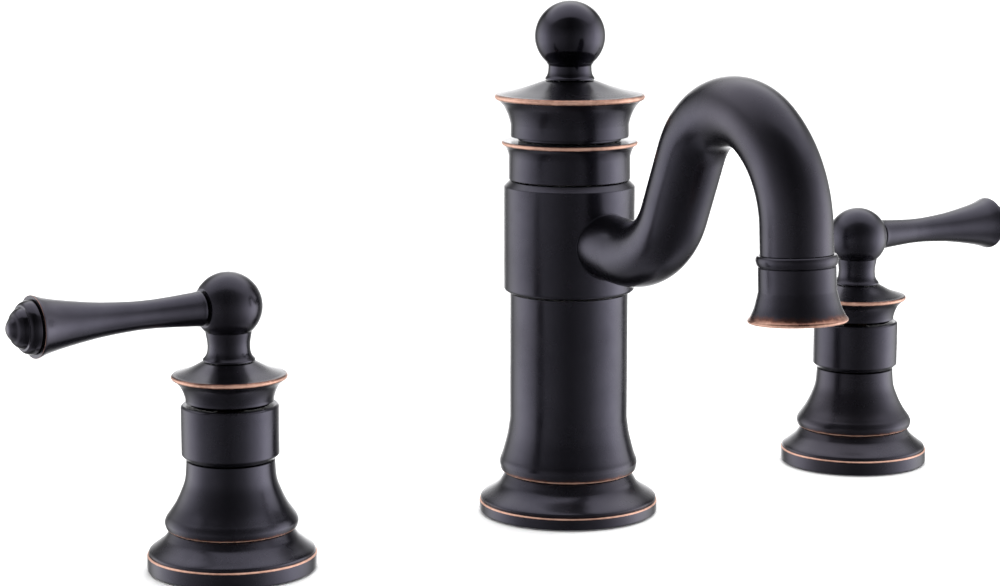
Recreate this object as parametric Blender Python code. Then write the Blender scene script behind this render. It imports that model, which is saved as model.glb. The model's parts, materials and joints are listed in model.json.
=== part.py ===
"""A widespread bathroom faucet: a swivelling swan-neck spout between a hot and a cold lever valve.

The three columns stand in line along X, hot side at -X, and the spout points to -Y. The origin is where the
spout column's axis meets the top of the deck, so flanges rest on the plane z = 0 and the shanks, washers and
nuts that clamp the deck hang below it. Heights are above the deck. Lengths are in metres, angles in degrees.
"""

from math import asin, cos, degrees, pi, radians, sin, sqrt

import bmesh
import bpy
from mathutils import Matrix, Vector

# Layout
HANDLE_OFFSET = 0.1265
DECK_THICKNESS = 0.020
CLEARANCE = 0.0003
OVERRUN = 0.003

# Edges shared by the turned pieces
EDGE_BREAK = 0.0004

# Facets round each kind of piece
SPOUT_STEPS = 20
HANDLE_STEPS = 18
NECK_STEPS = 16
LEVER_STEPS = 16
INNER_STEPS = 12
SMALL_STEPS = 8
HEX_STEPS = 6
ROUND_POINTS = 3

# Shank, gasket, washer and nut under each column
SHANK_RADIUS = 0.013
SHANK_TAIL = 0.012
GASKET_THICKNESS = 0.0015
WASHER_THICKNESS = 0.002
WASHER_WIDTH = 0.0082
NUT_WALL = 0.0052
NUT_THICKNESS = 0.010

# Side outlet of each valve, below its nut
SIDE_PORT_GAP = 0.0037
SIDE_PORT_RADIUS = 0.0080
SIDE_PORT_LENGTH = 0.0110

# Ceramic cartridge, its discs and its stem
CARTRIDGE_RADIUS = 0.0083
CARTRIDGE_RISE = 0.0038
CARTRIDGE_PROUD = 0.0020
CARTRIDGE_WALL = 0.0006
DISC_THICKNESS = 0.0030
DISC_MARGIN = 0.0010
VALVE_PORT_RADIUS = 0.0022
DRIVER_HEIGHT = 0.0041
STEM_RADIUS = 0.0041
STEM_ENGAGEMENT = 0.0051

# Valve body round the cartridge
BONNET_WALL = 0.0030
BONNET_SETBACK = 0.0055
VALVE_SHOULDER_WIDTH = 0.0046
VALVE_SHOULDER_HEIGHT = 0.0040

# Bell over the valve body
HANDLE_LIP_WALL = 0.0038
HANDLE_LIP_RISE = 0.0021
HANDLE_LIP_INSET = 0.0014
HANDLE_BELL_WALL = 0.00155
HANDLE_BELL_LENGTH = 0.0212
LIP_UNDER_SHARES = ((0.0, 0.0), (0.75, 0.35), (1.0, 1.0))
BELL_SHARES = ((0.10, 0.10), (0.22, 0.16), (0.48, 0.30), (0.72, 0.48), (0.93, 0.70), (1.0, 1.0))

# Collar over the bell
COLLAR_WALL = 0.00295
COLLAR_CHAMFER = 0.0015
COLLAR_TOP_CHAMFER = 0.0006
COLLAR_LENGTH = 0.0168

# Handle flange under the bell, resting on the deck
HANDLE_FLANGE_SETBACK = 0.0015
HANDLE_OGEE_WIDTH = 0.0070
HANDLE_FLANGE_ROUNDING = 0.0008
HANDLE_FLANGE_EDGE = 0.0049
HANDLE_FLANGE_TOP = 0.0124
HANDLE_GASKET_WIDTH = 0.0077
HANDLE_OGEE_SHARES = ((0.02, 0.13), (0.40, 0.39), (0.72, 0.63), (0.87, 0.81), (1.0, 1.0))

# Handle hub: skirt, flare and rim, then a shallow cone up to the ball's foot
HUB_GAP = 0.0009
HUB_SKIRT_RADIUS = 0.0134
HUB_SKIRT_LENGTH = 0.0009
HUB_FLARE_WIDTH = 0.00425
HUB_FLARE_LENGTH = 0.0059
HUB_RIM_THICKNESS = 0.0016
HUB_FOOT_RADIUS = 0.0079
HUB_WEB = 0.0018
FLARE_SHARES = ((0.12, 0.25), (0.30, 0.50), (0.56, 0.75), (1.0, 1.0))

# Set screw that locks the hub to the stem
SET_SCREW_RADIUS = 0.0015
SET_SCREW_EDGE = 0.0012
SET_SCREW_RECESS = 0.0012

# Handle ball on its neck
BALL_RADIUS = 0.0104
BALL_NECK = 0.0061
FOOT_STEP = 0.0005
WAIST_RADIUS = 0.0065
WAIST_RISE = 0.0034
WAIST_LENGTH = 0.0020
BALL_JOINT_RADIUS = 0.0069
BOSS_RADIUS = 0.0059
STUD_RADIUS = 0.0030
STUD_LENGTH = 0.0050
BALL_POINTS = 8
WAIST_SHARES = ((0.55, 0.28), (0.85, 0.60), (1.0, 1.0))

# Lever: groove, root ring, taper and trumpet
LEVER_GROOVE_RADIUS = 0.0044
LEVER_GROOVE_WIDTH = 0.0008
LEVER_ROOT_RADIUS = 0.00535
LEVER_WAIST_RADIUS = 0.00435
LEVER_TAPER_LENGTH = 0.0164
LEVER_END_RADIUS = 0.0092
LEVER_TRUMPET_LENGTH = 0.0367
LEVER_BEVEL = 0.0004
LEVER_TAPER_SHARES = ((0.52, 0.52), (1.0, 1.0))
TRUMPET_SHARES = ((0.02, 0.16), (0.18, 0.44), (0.48, 0.71), (0.75, 0.89), (1.0, 1.0))

# Stepped cap in the lever's end
CAP_INSET = 0.0012
CAP_BASE_LENGTH = 0.0031
CAP_STEP_RADIUS = 0.0067
CAP_STEP_LENGTH = 0.0028
CAP_NUB_RADIUS = 0.0037
CAP_NUB_LENGTH = 0.0018
CAP_STUD_LENGTH = 0.0080
CAP_BASE_SHARES = ((0.18, 0.20), (0.46, 0.74), (1.0, 1.0))
CAP_STEP_SHARES = ((0.24, 0.06), (0.36, 0.40), (0.62, 0.78), (1.0, 1.0))
CAP_NUB_SHARES = ((0.22, 0.08), (0.34, 0.60), (0.58, 0.88), (1.0, 1.0))

# Post that carries the water and the swivelling spout
POST_STEP = 0.0025
POST_SHOULDER_RISE = 0.0062
POST_SHOULDER_WIDTH = 0.0040
POST_ENGAGEMENT = 0.0053
WATERWAY_RADIUS = 0.0028
GALLERY_WIDTH = 0.0070
O_RING_SPACING = 0.0200
O_RING_SECTION = 0.0017

# Spout column with its flared lip, round the post
COLUMN_WALL = 0.0035
COLUMN_LENGTH = 0.0597
COLUMN_FLARE_LENGTH = 0.0152
COLUMN_FLARE_WIDTH = 0.0034
COLUMN_LIP_RISE = 0.0029
COLUMN_LIP_INSET = 0.0016
COLUMN_SHARES = ((0.07, 0.10), (0.23, 0.19), (0.45, 0.36), (0.78, 0.66), (1.0, 1.0))

# Spout flange under the column, resting on the deck
SPOUT_FLANGE_SETBACK = 0.0020
SPOUT_OGEE_WIDTH = 0.0087
SPOUT_FLANGE_ROUNDING = 0.0009
SPOUT_FLANGE_EDGE = 0.0038
SPOUT_FLANGE_TOP = 0.0132
SPOUT_GASKET_WIDTH = 0.0107
SPOUT_OGEE_SHARES = ((0.01, 0.13), (0.50, 0.41), (0.73, 0.59), (0.86, 0.78), (1.0, 1.0))

# Spout collar, the swivelling ring that holds the neck
SPOUT_COLLAR_WALL = 0.00335
SPOUT_COLLAR_GAP = 0.0006
SPOUT_COLLAR_LENGTH = 0.0364
SPOUT_COLLAR_ROUNDING = 0.0012
SPOUT_COLLAR_CHAMFER = 0.0020
THRUST_WASHER_THICKNESS = 0.0012
THRUST_WASHER_WIDTH = 0.0016

# Swan neck: its axis starts at the column's axis, bends up, arches over and opens out to the drop
NECK_RADIUS = 0.0105
NECK_SWELL = 0.00035
NECK_AXIS_RISE = 0.0182
NECK_DIP = 4.0
NECK_SOCKET_DEPTH = 0.00445
NECK_ROOT_RUN = 0.0309
LOWER_BEND_RADIUS = 0.0241
NECK_RISE_RUN = 0.0217
NECK_RISE_LEAN = 22.0
ARCH_RADIUS = 0.0224
OUTER_BEND_RADIUS = 0.0360
OUTER_BEND_TURN = 51.0
NECK_DROP_LEAN = 3.0
NECK_DROP_RUN = 0.0278
LOWER_BEND_HOOPS = 6
ARCH_HOOPS = 7
OUTER_BEND_HOOPS = 4

# Aerator inside the outlet, measured back from the mouth
AERATOR_RADIUS = 0.0100
AERATOR_HEAD_STEP = 0.0013
AERATOR_HEAD = 0.0018
AERATOR_RECESS = 0.0020
AERATOR_TOP = 0.0110
AERATOR_WALL = 0.0011
AERATOR_LIP = 0.0005
SCREEN_THICKNESS = 0.0015

# Outlet bell round the aerator, measured back from the mouth
OUTLET_WALL = 0.0012
MOUTH_WALL = 0.00317
MOUTH_EDGE = 0.0005
MOUTH_FLARE = 0.0093
BEAD_RISE = 0.0006
BEAD_CENTRE = 0.0182
BEAD_HALF_WIDTH = 0.0017
SPIGOT_RADIUS = 0.0060
SPIGOT_LENGTH = 0.0070
MOUTH_SHARES = ((0.22, 0.10), (0.60, 0.42), (0.86, 0.78), (1.0, 1.0))

# Retaining ring over the spout collar
RETAINER_WALL = 0.0040
RETAINER_SKIRT_LENGTH = 0.0075
RETAINER_FLARE_WIDTH = 0.0024
RETAINER_FLARE_LENGTH = 0.0036
RETAINER_RIM_THICKNESS = 0.0014

# Finial cap over the retaining ring
FINIAL_CAP_GAP = 0.0014
FINIAL_BOSS_WALL = 0.0050
FINIAL_CAP_WALL = 0.00745
FINIAL_CAP_SKIRT_LENGTH = 0.0040
FINIAL_CAP_FLARE_WIDTH = 0.0052
FINIAL_CAP_FLARE_LENGTH = 0.00785
FINIAL_CAP_RIM_THICKNESS = 0.0019
FINIAL_CAP_WEB = 0.0031
FINIAL_FOOT_RADIUS = 0.00805

# Finial ball on its neck
FINIAL_RADIUS = 0.01145
FINIAL_NECK = 0.00245
FINIAL_WAIST_RADIUS = 0.0071
FINIAL_WAIST_RISE = 0.0030
FINIAL_WAIST_LENGTH = 0.0014
FINIAL_JOINT_RADIUS = 0.0076
FINIAL_STUD_LENGTH = 0.0095

# Radii of the handle column, from the cartridge out
DISC_RADIUS = CARTRIDGE_RADIUS - CARTRIDGE_WALL - CLEARANCE
VALVE_PORT_OFFSET = DISC_RADIUS - DISC_MARGIN - VALVE_PORT_RADIUS
BONNET_RADIUS = CARTRIDGE_RADIUS + CLEARANCE + BONNET_WALL
VALVE_SHOULDER_RADIUS = BONNET_RADIUS + VALVE_SHOULDER_WIDTH
HANDLE_BELL_RADIUS = BONNET_RADIUS + CLEARANCE + HANDLE_BELL_WALL
COLLAR_RADIUS = BONNET_RADIUS + CLEARANCE + COLLAR_WALL
HANDLE_LIP_RADIUS = VALVE_SHOULDER_RADIUS + CLEARANCE + HANDLE_LIP_WALL
HANDLE_FLANGE_TOP_RADIUS = HANDLE_LIP_RADIUS - HANDLE_FLANGE_SETBACK
HANDLE_FLANGE_RADIUS = HANDLE_FLANGE_TOP_RADIUS + HANDLE_OGEE_WIDTH
HUB_RIM_RADIUS = HUB_SKIRT_RADIUS + HUB_FLARE_WIDTH
CAP_BASE_RADIUS = LEVER_END_RADIUS - CAP_INSET

# Radii of the spout column and of the spout, from the shank out
SHANK_BORE = SHANK_RADIUS + CLEARANCE
POST_RADIUS = SHANK_RADIUS + POST_STEP
POST_SPIGOT_RADIUS = POST_RADIUS - POST_SHOULDER_WIDTH
COLUMN_RADIUS = POST_RADIUS + CLEARANCE + COLUMN_WALL
COLUMN_LIP_RADIUS = COLUMN_RADIUS + COLUMN_FLARE_WIDTH
SPOUT_FLANGE_TOP_RADIUS = COLUMN_LIP_RADIUS - SPOUT_FLANGE_SETBACK
SPOUT_FLANGE_RADIUS = SPOUT_FLANGE_TOP_RADIUS + SPOUT_OGEE_WIDTH
WASHER_RECESS_RADIUS = POST_RADIUS + THRUST_WASHER_WIDTH + 3.0 * CLEARANCE
SPOUT_COLLAR_RADIUS = WASHER_RECESS_RADIUS + SPOUT_COLLAR_WALL
NECK_SOCKET = SPOUT_COLLAR_RADIUS - NECK_SOCKET_DEPTH
NECK_TIP_RADIUS = NECK_RADIUS + NECK_SWELL
AERATOR_HEAD_RADIUS = AERATOR_RADIUS + AERATOR_HEAD_STEP
OUTLET_WAIST_RADIUS = AERATOR_RADIUS + CLEARANCE + OUTLET_WALL
MOUTH_RADIUS = AERATOR_HEAD_RADIUS + CLEARANCE + MOUTH_WALL
BEAD_RADIUS = OUTLET_WAIST_RADIUS + BEAD_RISE
RETAINER_RADIUS = POST_RADIUS + CLEARANCE + RETAINER_WALL
FINIAL_BOSS_RADIUS = POST_SPIGOT_RADIUS + CLEARANCE + FINIAL_BOSS_WALL
FINIAL_CAP_RADIUS = POST_SPIGOT_RADIUS + CLEARANCE + FINIAL_CAP_WALL

# Heights below the deck
WASHER_BOTTOM = -DECK_THICKNESS - WASHER_THICKNESS
NUT_TOP = WASHER_BOTTOM - CLEARANCE
NUT_BOTTOM = NUT_TOP - NUT_THICKNESS
SIDE_PORT_HEIGHT = NUT_BOTTOM - SIDE_PORT_GAP - SIDE_PORT_RADIUS
SHANK_BOTTOM = SIDE_PORT_HEIGHT - SHANK_TAIL

# Heights of the handle column, from the deck up
BELL_BOTTOM = HANDLE_FLANGE_TOP + CLEARANCE
BELL_TOP = BELL_BOTTOM + HANDLE_BELL_LENGTH
COLLAR_BOTTOM = BELL_TOP + CLEARANCE
COLLAR_TOP = COLLAR_BOTTOM + COLLAR_LENGTH
HUB_BOTTOM = COLLAR_TOP + HUB_GAP
STEM_TOP = HUB_BOTTOM + STEM_ENGAGEMENT
HUB_TOP = STEM_TOP + CLEARANCE + HUB_WEB + STUD_LENGTH
BALL_FOOT = HUB_TOP + CLEARANCE
BALL_HEIGHT = BALL_FOOT + BALL_NECK + BALL_RADIUS
SHOULDER_TOP = BELL_BOTTOM + VALVE_SHOULDER_HEIGHT
CARTRIDGE_BOTTOM = SHOULDER_TOP + CARTRIDGE_RISE
BONNET_TOP = COLLAR_TOP - BONNET_SETBACK
CARTRIDGE_TOP = BONNET_TOP + CARTRIDGE_PROUD

# Places along the lever, from the ball's centre out
BOSS_FACE = sqrt(BALL_RADIUS**2 - BOSS_RADIUS**2)
LEVER_START = BOSS_FACE + CLEARANCE
LEVER_ROOT = LEVER_START + LEVER_GROOVE_WIDTH
LEVER_WAIST = LEVER_ROOT + EDGE_BREAK + LEVER_TAPER_LENGTH
LEVER_END = LEVER_WAIST + LEVER_TRUMPET_LENGTH + LEVER_BEVEL
CAP_BASE = LEVER_END + CLEARANCE
CAP_STEP = CAP_BASE + CAP_BASE_LENGTH
CAP_NUB = CAP_STEP + CAP_STEP_LENGTH
CAP_TIP = CAP_NUB + CAP_NUB_LENGTH

# Heights of the spout column, from the deck up
COLUMN_BOTTOM = SPOUT_FLANGE_TOP + CLEARANCE
COLUMN_TOP = COLUMN_BOTTOM + COLUMN_LENGTH
SPOUT_COLLAR_BOTTOM = COLUMN_TOP + SPOUT_COLLAR_GAP
SPOUT_COLLAR_TOP = SPOUT_COLLAR_BOTTOM + SPOUT_COLLAR_LENGTH
NECK_AXIS_HEIGHT = SPOUT_COLLAR_BOTTOM + NECK_AXIS_RISE
RETAINER_BOTTOM = SPOUT_COLLAR_TOP + CLEARANCE
RETAINER_TOP = RETAINER_BOTTOM + RETAINER_SKIRT_LENGTH + RETAINER_FLARE_LENGTH + RETAINER_RIM_THICKNESS
POST_SHOULDER = RETAINER_BOTTOM + POST_SHOULDER_RISE
FINIAL_CAP_BOTTOM = RETAINER_TOP + FINIAL_CAP_GAP
POST_TOP = FINIAL_CAP_BOTTOM + POST_ENGAGEMENT
FINIAL_CAP_TOP = POST_TOP + CLEARANCE + FINIAL_CAP_WEB + FINIAL_STUD_LENGTH
FINIAL_FOOT = FINIAL_CAP_TOP + CLEARANCE

# Finishes: colour, metallic and roughness
FINISHES = {
    "bronze": ((0.040, 0.033, 0.036), 1.0, 0.32),
    "brass": ((0.60, 0.43, 0.17), 1.0, 0.35),
    "steel": ((0.56, 0.56, 0.57), 1.0, 0.30),
    "rubber": ((0.020, 0.020, 0.020), 0.0, 0.80),
    "nylon": ((0.75, 0.74, 0.70), 0.0, 0.50),
    "ceramic": ((0.85, 0.83, 0.78), 0.0, 0.15),
}

DEGENERATE = 1e-7


def clear_scene():
    for obj in list(bpy.data.objects):
        bpy.data.objects.remove(obj, do_unlink=True)


def make_materials():
    made = {}
    for name, (colour, metallic, roughness) in FINISHES.items():
        material = bpy.data.materials.new(name)
        material.use_nodes = True
        shader = material.node_tree.nodes["Principled BSDF"]
        shader.inputs["Base Color"].default_value = (*colour, 1.0)
        shader.inputs["Metallic"].default_value = metallic
        shader.inputs["Roughness"].default_value = roughness
        made[name] = material
    return made


def make_axis(name, place):
    """An empty that carries the pieces of one column or of one moving body."""
    axis = bpy.data.objects.new(name, None)
    axis.location = place
    bpy.context.scene.collection.objects.link(axis)
    return axis


def add_object(name, mesh_data, finish, parent):
    """Turns a bmesh into an object that hangs on its parent."""
    bmesh.ops.recalc_face_normals(mesh_data, faces=mesh_data.faces)
    mesh = bpy.data.meshes.new(name)
    mesh_data.to_mesh(mesh)
    mesh_data.free()
    mesh.shade_smooth()
    mesh.set_sharp_from_angle(angle=radians(35))
    obj = bpy.data.objects.new(name, mesh)
    bpy.context.scene.collection.objects.link(obj)
    obj.parent = parent
    if finish is not None:
        mesh.materials.append(finish)
    return obj


def turned(name, outline, steps, finish, parent):
    """Spins an outline of (radius, height) points about Z. It closes on the axis or on itself."""
    mesh_data = bmesh.new()
    corners = [mesh_data.verts.new((radius, 0.0, height)) for radius, height in outline]
    edges = [mesh_data.edges.new(pair) for pair in zip(corners, corners[1:])]
    if outline[0][0] > 0.0:
        edges.append(mesh_data.edges.new((corners[-1], corners[0])))
    bmesh.ops.spin(
        mesh_data,
        geom=corners + edges,
        cent=(0.0, 0.0, 0.0),
        axis=(0.0, 0.0, 1.0),
        angle=2.0 * pi,
        steps=steps,
        use_merge=True,
    )
    bmesh.ops.remove_doubles(mesh_data, verts=mesh_data.verts, dist=DEGENERATE)
    return add_object(name, mesh_data, finish, parent)


def hooped(name, hoops, steps, finish, parent):
    """Joins hoops of (centre, side, up, radius) into one closed skin that ends where it started."""
    mesh_data = bmesh.new()
    rings = []
    for centre, side, up, radius in hoops:
        turns = [2.0 * pi * step / steps for step in range(steps)]
        rings.append([mesh_data.verts.new(centre + radius * (cos(a) * side + sin(a) * up)) for a in turns])
    for ring, following in zip(rings, rings[1:] + rings[:1]):
        for step in range(steps):
            beyond = (step + 1) % steps
            mesh_data.faces.new((ring[step], ring[beyond], following[beyond], following[step]))
    return add_object(name, mesh_data, finish, parent)


def rod(name, start, end, radius, steps, finish, parent):
    """A plain cylinder from one point to another."""
    run = Vector(end) - Vector(start)
    aim = run.to_track_quat("Z", "Y").to_matrix().to_4x4()
    mesh_data = bmesh.new()
    bmesh.ops.create_cone(
        mesh_data,
        cap_ends=True,
        segments=steps,
        radius1=radius,
        radius2=radius,
        depth=run.length,
        matrix=Matrix.Translation(Vector(start) + run / 2.0) @ aim,
    )
    return add_object(name, mesh_data, finish, parent)


def apply_boolean(target, tool, operation):
    """Adds a Boolean whose tool is a helper left out of renders."""
    tool.hide_render = True
    tool.display_type = "WIRE"
    modifier = target.modifiers.new(tool.name, "BOOLEAN")
    modifier.operation = operation
    modifier.object = tool


def drill(target, name, start, end, radius, steps):
    """Cuts a round hole between two points of the target's column."""
    tool = rod(name, start, end, radius, steps, None, target.parent)
    apply_boolean(target, tool, "DIFFERENCE")


def between(shares, start, end):
    """Outline points at the given (radius, height) shares of the way from start to end."""
    (start_radius, start_height), (end_radius, end_height) = start, end
    return [
        (start_radius + (end_radius - start_radius) * across, start_height + (end_height - start_height) * along)
        for across, along in shares
    ]


def arc(centre, radius, start, end, points):
    """Outline points of a round stretch, by angles in degrees, 0 outwards and 90 up."""
    turns = [radians(start + (end - start) * point / (points - 1)) for point in range(points)]
    return [(centre[0] + radius * cos(turn), centre[1] + radius * sin(turn)) for turn in turns]


def ring_outline(inner, outer, bottom, top):
    return [(inner, bottom), (outer, bottom), (outer, top), (inner, top)]


def flange_outline(radius, rounding, edge, top_radius, top, ogee_shares, gasket_width):
    """Underside with its gasket recess, upright rim, and an ogee that rises to the column's seat."""
    recess = SHANK_BORE + gasket_width + CLEARANCE
    recess_top = GASKET_THICKNESS + CLEARANCE
    rim = arc((radius - rounding, rounding), rounding, -90.0, 0.0, ROUND_POINTS)
    shoulder = [(radius, edge - EDGE_BREAK), (radius - EDGE_BREAK, edge)]
    ogee = between(ogee_shares, shoulder[-1], (top_radius, top))
    inside = [(SHANK_BORE, top), (SHANK_BORE, recess_top), (recess, recess_top), (recess, 0.0)]
    return rim + shoulder + ogee + inside


def flared_outline(bottom, radius, skirt_length, flare_width, flare_length, rim_thickness):
    """Outer line of a skirt that flares in a cavetto to a half-round rim."""
    skirt_top = bottom + skirt_length
    skirt = [(radius - EDGE_BREAK, bottom), (radius, bottom + EDGE_BREAK), (radius, skirt_top)]
    half = rim_thickness / 2.0
    rim_centre = radius + flare_width - half
    flare_top = skirt_top + flare_length
    flare = between(FLARE_SHARES, skirt[-1], (rim_centre, flare_top))
    rim = arc((rim_centre, flare_top + half), half, -90.0, 90.0, ROUND_POINTS + 1)
    return skirt + flare + rim[1:]


def ball_outline(foot_radius, foot, waist_radius, waist_rise, waist_length, joint_radius, radius, neck):
    """Neck with a small foot step, a concave waist and a ball that closes on the axis."""
    height = foot + neck + radius
    waist_bottom = foot + waist_rise
    joint_angle = -90.0 + degrees(asin(joint_radius / radius))
    step = [(foot_radius, foot), (foot_radius, foot + FOOT_STEP)]
    waist = between(WAIST_SHARES, step[-1], (waist_radius, waist_bottom))
    ball = arc((0.0, height), radius, joint_angle, 90.0, BALL_POINTS)
    return step + waist + [(waist_radius, waist_bottom + waist_length)] + ball[:-1] + [(0.0, height + radius)]


def stud_outline(radius, length, foot):
    """A stud below a foot: outline from the axis up to the foot."""
    bottom = foot - length
    return [(0.0, bottom), (radius - EDGE_BREAK, bottom), (radius, bottom + EDGE_BREAK), (radius, foot)]


def make_clamp(side, steps, gasket_width, finishes, column):
    """Gasket in the flange, and the washer and nut that pull the shank down through the deck."""
    gasket = ring_outline(SHANK_BORE, SHANK_BORE + gasket_width, 0.0, GASKET_THICKNESS)
    turned(f"deck_gasket_{side}", gasket, steps, finishes["rubber"], column)
    washer = ring_outline(SHANK_BORE, SHANK_BORE + WASHER_WIDTH, WASHER_BOTTOM, -DECK_THICKNESS)
    turned(f"deck_washer_{side}", washer, steps, finishes["steel"], column)
    nut_ends = (0.0, 0.0, NUT_BOTTOM), (0.0, 0.0, NUT_TOP)
    nut = rod(f"lock_nut_{side}", *nut_ends, SHANK_BORE + NUT_WALL, HEX_STEPS, finishes["brass"], column)
    bore_ends = (0.0, 0.0, NUT_BOTTOM - OVERRUN), (0.0, 0.0, NUT_TOP + OVERRUN)
    drill(nut, f"lock_nut_bore_{side}", *bore_ends, SHANK_BORE, INNER_STEPS)


def make_valve_body(side, inward, finishes, column):
    """Brass body from the deck shank to the bonnet, with its ports and the side outlet below the deck."""
    chamber_radius = CARTRIDGE_RADIUS + CLEARANCE
    chamber_bottom = CARTRIDGE_BOTTOM - CLEARANCE
    outline = [
        (0.0, SHANK_BOTTOM),
        (SHANK_RADIUS - EDGE_BREAK, SHANK_BOTTOM),
        (SHANK_RADIUS, SHANK_BOTTOM + EDGE_BREAK),
        (SHANK_RADIUS, BELL_BOTTOM),
        (VALVE_SHOULDER_RADIUS, BELL_BOTTOM),
        (VALVE_SHOULDER_RADIUS, SHOULDER_TOP),
        (BONNET_RADIUS, SHOULDER_TOP),
        (BONNET_RADIUS, BONNET_TOP),
        (chamber_radius, BONNET_TOP),
        (chamber_radius, chamber_bottom),
        (0.0, chamber_bottom),
    ]
    body = turned(f"valve_body_{side}", outline, INNER_STEPS, finishes["brass"], column)
    reach = inward * (SHANK_RADIUS + SIDE_PORT_LENGTH)
    outlet = rod(
        f"side_outlet_{side}",
        (0.0, 0.0, SIDE_PORT_HEIGHT),
        (reach, 0.0, SIDE_PORT_HEIGHT),
        SIDE_PORT_RADIUS,
        INNER_STEPS,
        None,
        column,
    )
    apply_boolean(body, outlet, "UNION")
    outer = -inward * VALVE_PORT_OFFSET
    inner = inward * VALVE_PORT_OFFSET
    above = chamber_bottom + OVERRUN
    inlet_start = (outer, 0.0, SHANK_BOTTOM - OVERRUN)
    drill(body, f"inlet_port_{side}", inlet_start, (outer, 0.0, above), VALVE_PORT_RADIUS, SMALL_STEPS)
    outlet_start = (inner, 0.0, SIDE_PORT_HEIGHT)
    drill(body, f"outlet_port_{side}", outlet_start, (inner, 0.0, above), VALVE_PORT_RADIUS, SMALL_STEPS)
    side_end = (reach + inward * OVERRUN, 0.0, SIDE_PORT_HEIGHT)
    drill(body, f"side_port_{side}", outlet_start, side_end, WATERWAY_RADIUS, SMALL_STEPS)


def make_disc(name, bottom, port_direction, finishes, parent):
    """A ceramic disc with two ports on one diameter."""
    top = bottom + DISC_THICKNESS
    ends = (0.0, 0.0, bottom), (0.0, 0.0, top)
    disc = rod(name, *ends, DISC_RADIUS, INNER_STEPS, finishes["ceramic"], parent)
    for number, sign in enumerate((-1.0, 1.0), start=1):
        port = Vector(port_direction) * sign * VALVE_PORT_OFFSET
        start = port + Vector((0.0, 0.0, bottom - OVERRUN))
        end = port + Vector((0.0, 0.0, top + OVERRUN))
        drill(disc, f"{name}_port_{number}", start, end, VALVE_PORT_RADIUS, SMALL_STEPS)


def make_cartridge(side, finishes, column, axis):
    """Cartridge shell and fixed disc in the body, moving disc and stem on the handle's axis."""
    cavity = CARTRIDGE_RADIUS - CARTRIDGE_WALL
    stem_bore = STEM_RADIUS + CLEARANCE
    moving_bottom = CARTRIDGE_BOTTOM + DISC_THICKNESS + CLEARANCE
    driver_bottom = moving_bottom + DISC_THICKNESS + CLEARANCE
    driver_top = driver_bottom + DRIVER_HEIGHT
    driver_radius = cavity - CLEARANCE
    head_bottom = driver_top + CLEARANCE
    shell = [
        (cavity, CARTRIDGE_BOTTOM),
        (CARTRIDGE_RADIUS, CARTRIDGE_BOTTOM),
        (CARTRIDGE_RADIUS, CARTRIDGE_TOP),
        (stem_bore, CARTRIDGE_TOP),
        (stem_bore, head_bottom),
        (cavity, head_bottom),
    ]
    turned(f"cartridge_{side}", shell, INNER_STEPS, finishes["brass"], column)
    make_disc(f"fixed_disc_{side}", CARTRIDGE_BOTTOM, (1.0, 0.0, 0.0), finishes, column)
    make_disc(f"moving_disc_{side}", moving_bottom, (0.0, 1.0, 0.0), finishes, axis)
    stem = [
        (0.0, driver_bottom),
        (driver_radius, driver_bottom),
        (driver_radius, driver_top),
        (STEM_RADIUS, driver_top),
        (STEM_RADIUS, STEM_TOP - EDGE_BREAK),
        (STEM_RADIUS - EDGE_BREAK, STEM_TOP),
        (0.0, STEM_TOP),
    ]
    turned(f"stem_{side}", stem, INNER_STEPS, finishes["brass"], axis)


def make_handle_column(side, finishes, column):
    """Flange, bell and collar that cover the valve body."""
    flange = flange_outline(
        HANDLE_FLANGE_RADIUS,
        HANDLE_FLANGE_ROUNDING,
        HANDLE_FLANGE_EDGE,
        HANDLE_FLANGE_TOP_RADIUS,
        HANDLE_FLANGE_TOP,
        HANDLE_OGEE_SHARES,
        HANDLE_GASKET_WIDTH,
    )
    turned(f"base_flange_{side}", flange, HANDLE_STEPS, finishes["bronze"], column)

    lip = (HANDLE_LIP_RADIUS, BELL_BOTTOM + HANDLE_LIP_RISE)
    lip_foot = (HANDLE_LIP_RADIUS - HANDLE_LIP_INSET, BELL_BOTTOM)
    bonnet_bore = BONNET_RADIUS + CLEARANCE
    shoulder_bore = VALVE_SHOULDER_RADIUS + CLEARANCE
    shoulder_clear = SHOULDER_TOP + CLEARANCE
    bell = between(LIP_UNDER_SHARES, lip_foot, lip)
    bell += between(BELL_SHARES, lip, (HANDLE_BELL_RADIUS, BELL_TOP))
    bell += [
        (bonnet_bore, BELL_TOP),
        (bonnet_bore, (shoulder_clear + BELL_TOP) / 2.0),
        (shoulder_bore, shoulder_clear),
        (shoulder_bore, BELL_BOTTOM),
    ]
    turned(f"bell_{side}", bell, HANDLE_STEPS, finishes["bronze"], column)

    chamfer_radius = COLLAR_RADIUS - COLLAR_CHAMFER
    collar = [
        (bonnet_bore, COLLAR_BOTTOM),
        (chamfer_radius, COLLAR_BOTTOM),
        (COLLAR_RADIUS, COLLAR_BOTTOM + COLLAR_CHAMFER),
        (COLLAR_RADIUS, COLLAR_TOP - COLLAR_TOP_CHAMFER),
        (COLLAR_RADIUS - COLLAR_TOP_CHAMFER, COLLAR_TOP),
        (bonnet_bore, COLLAR_TOP),
    ]
    turned(f"collar_{side}", collar, HANDLE_STEPS, finishes["bronze"], column)


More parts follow.
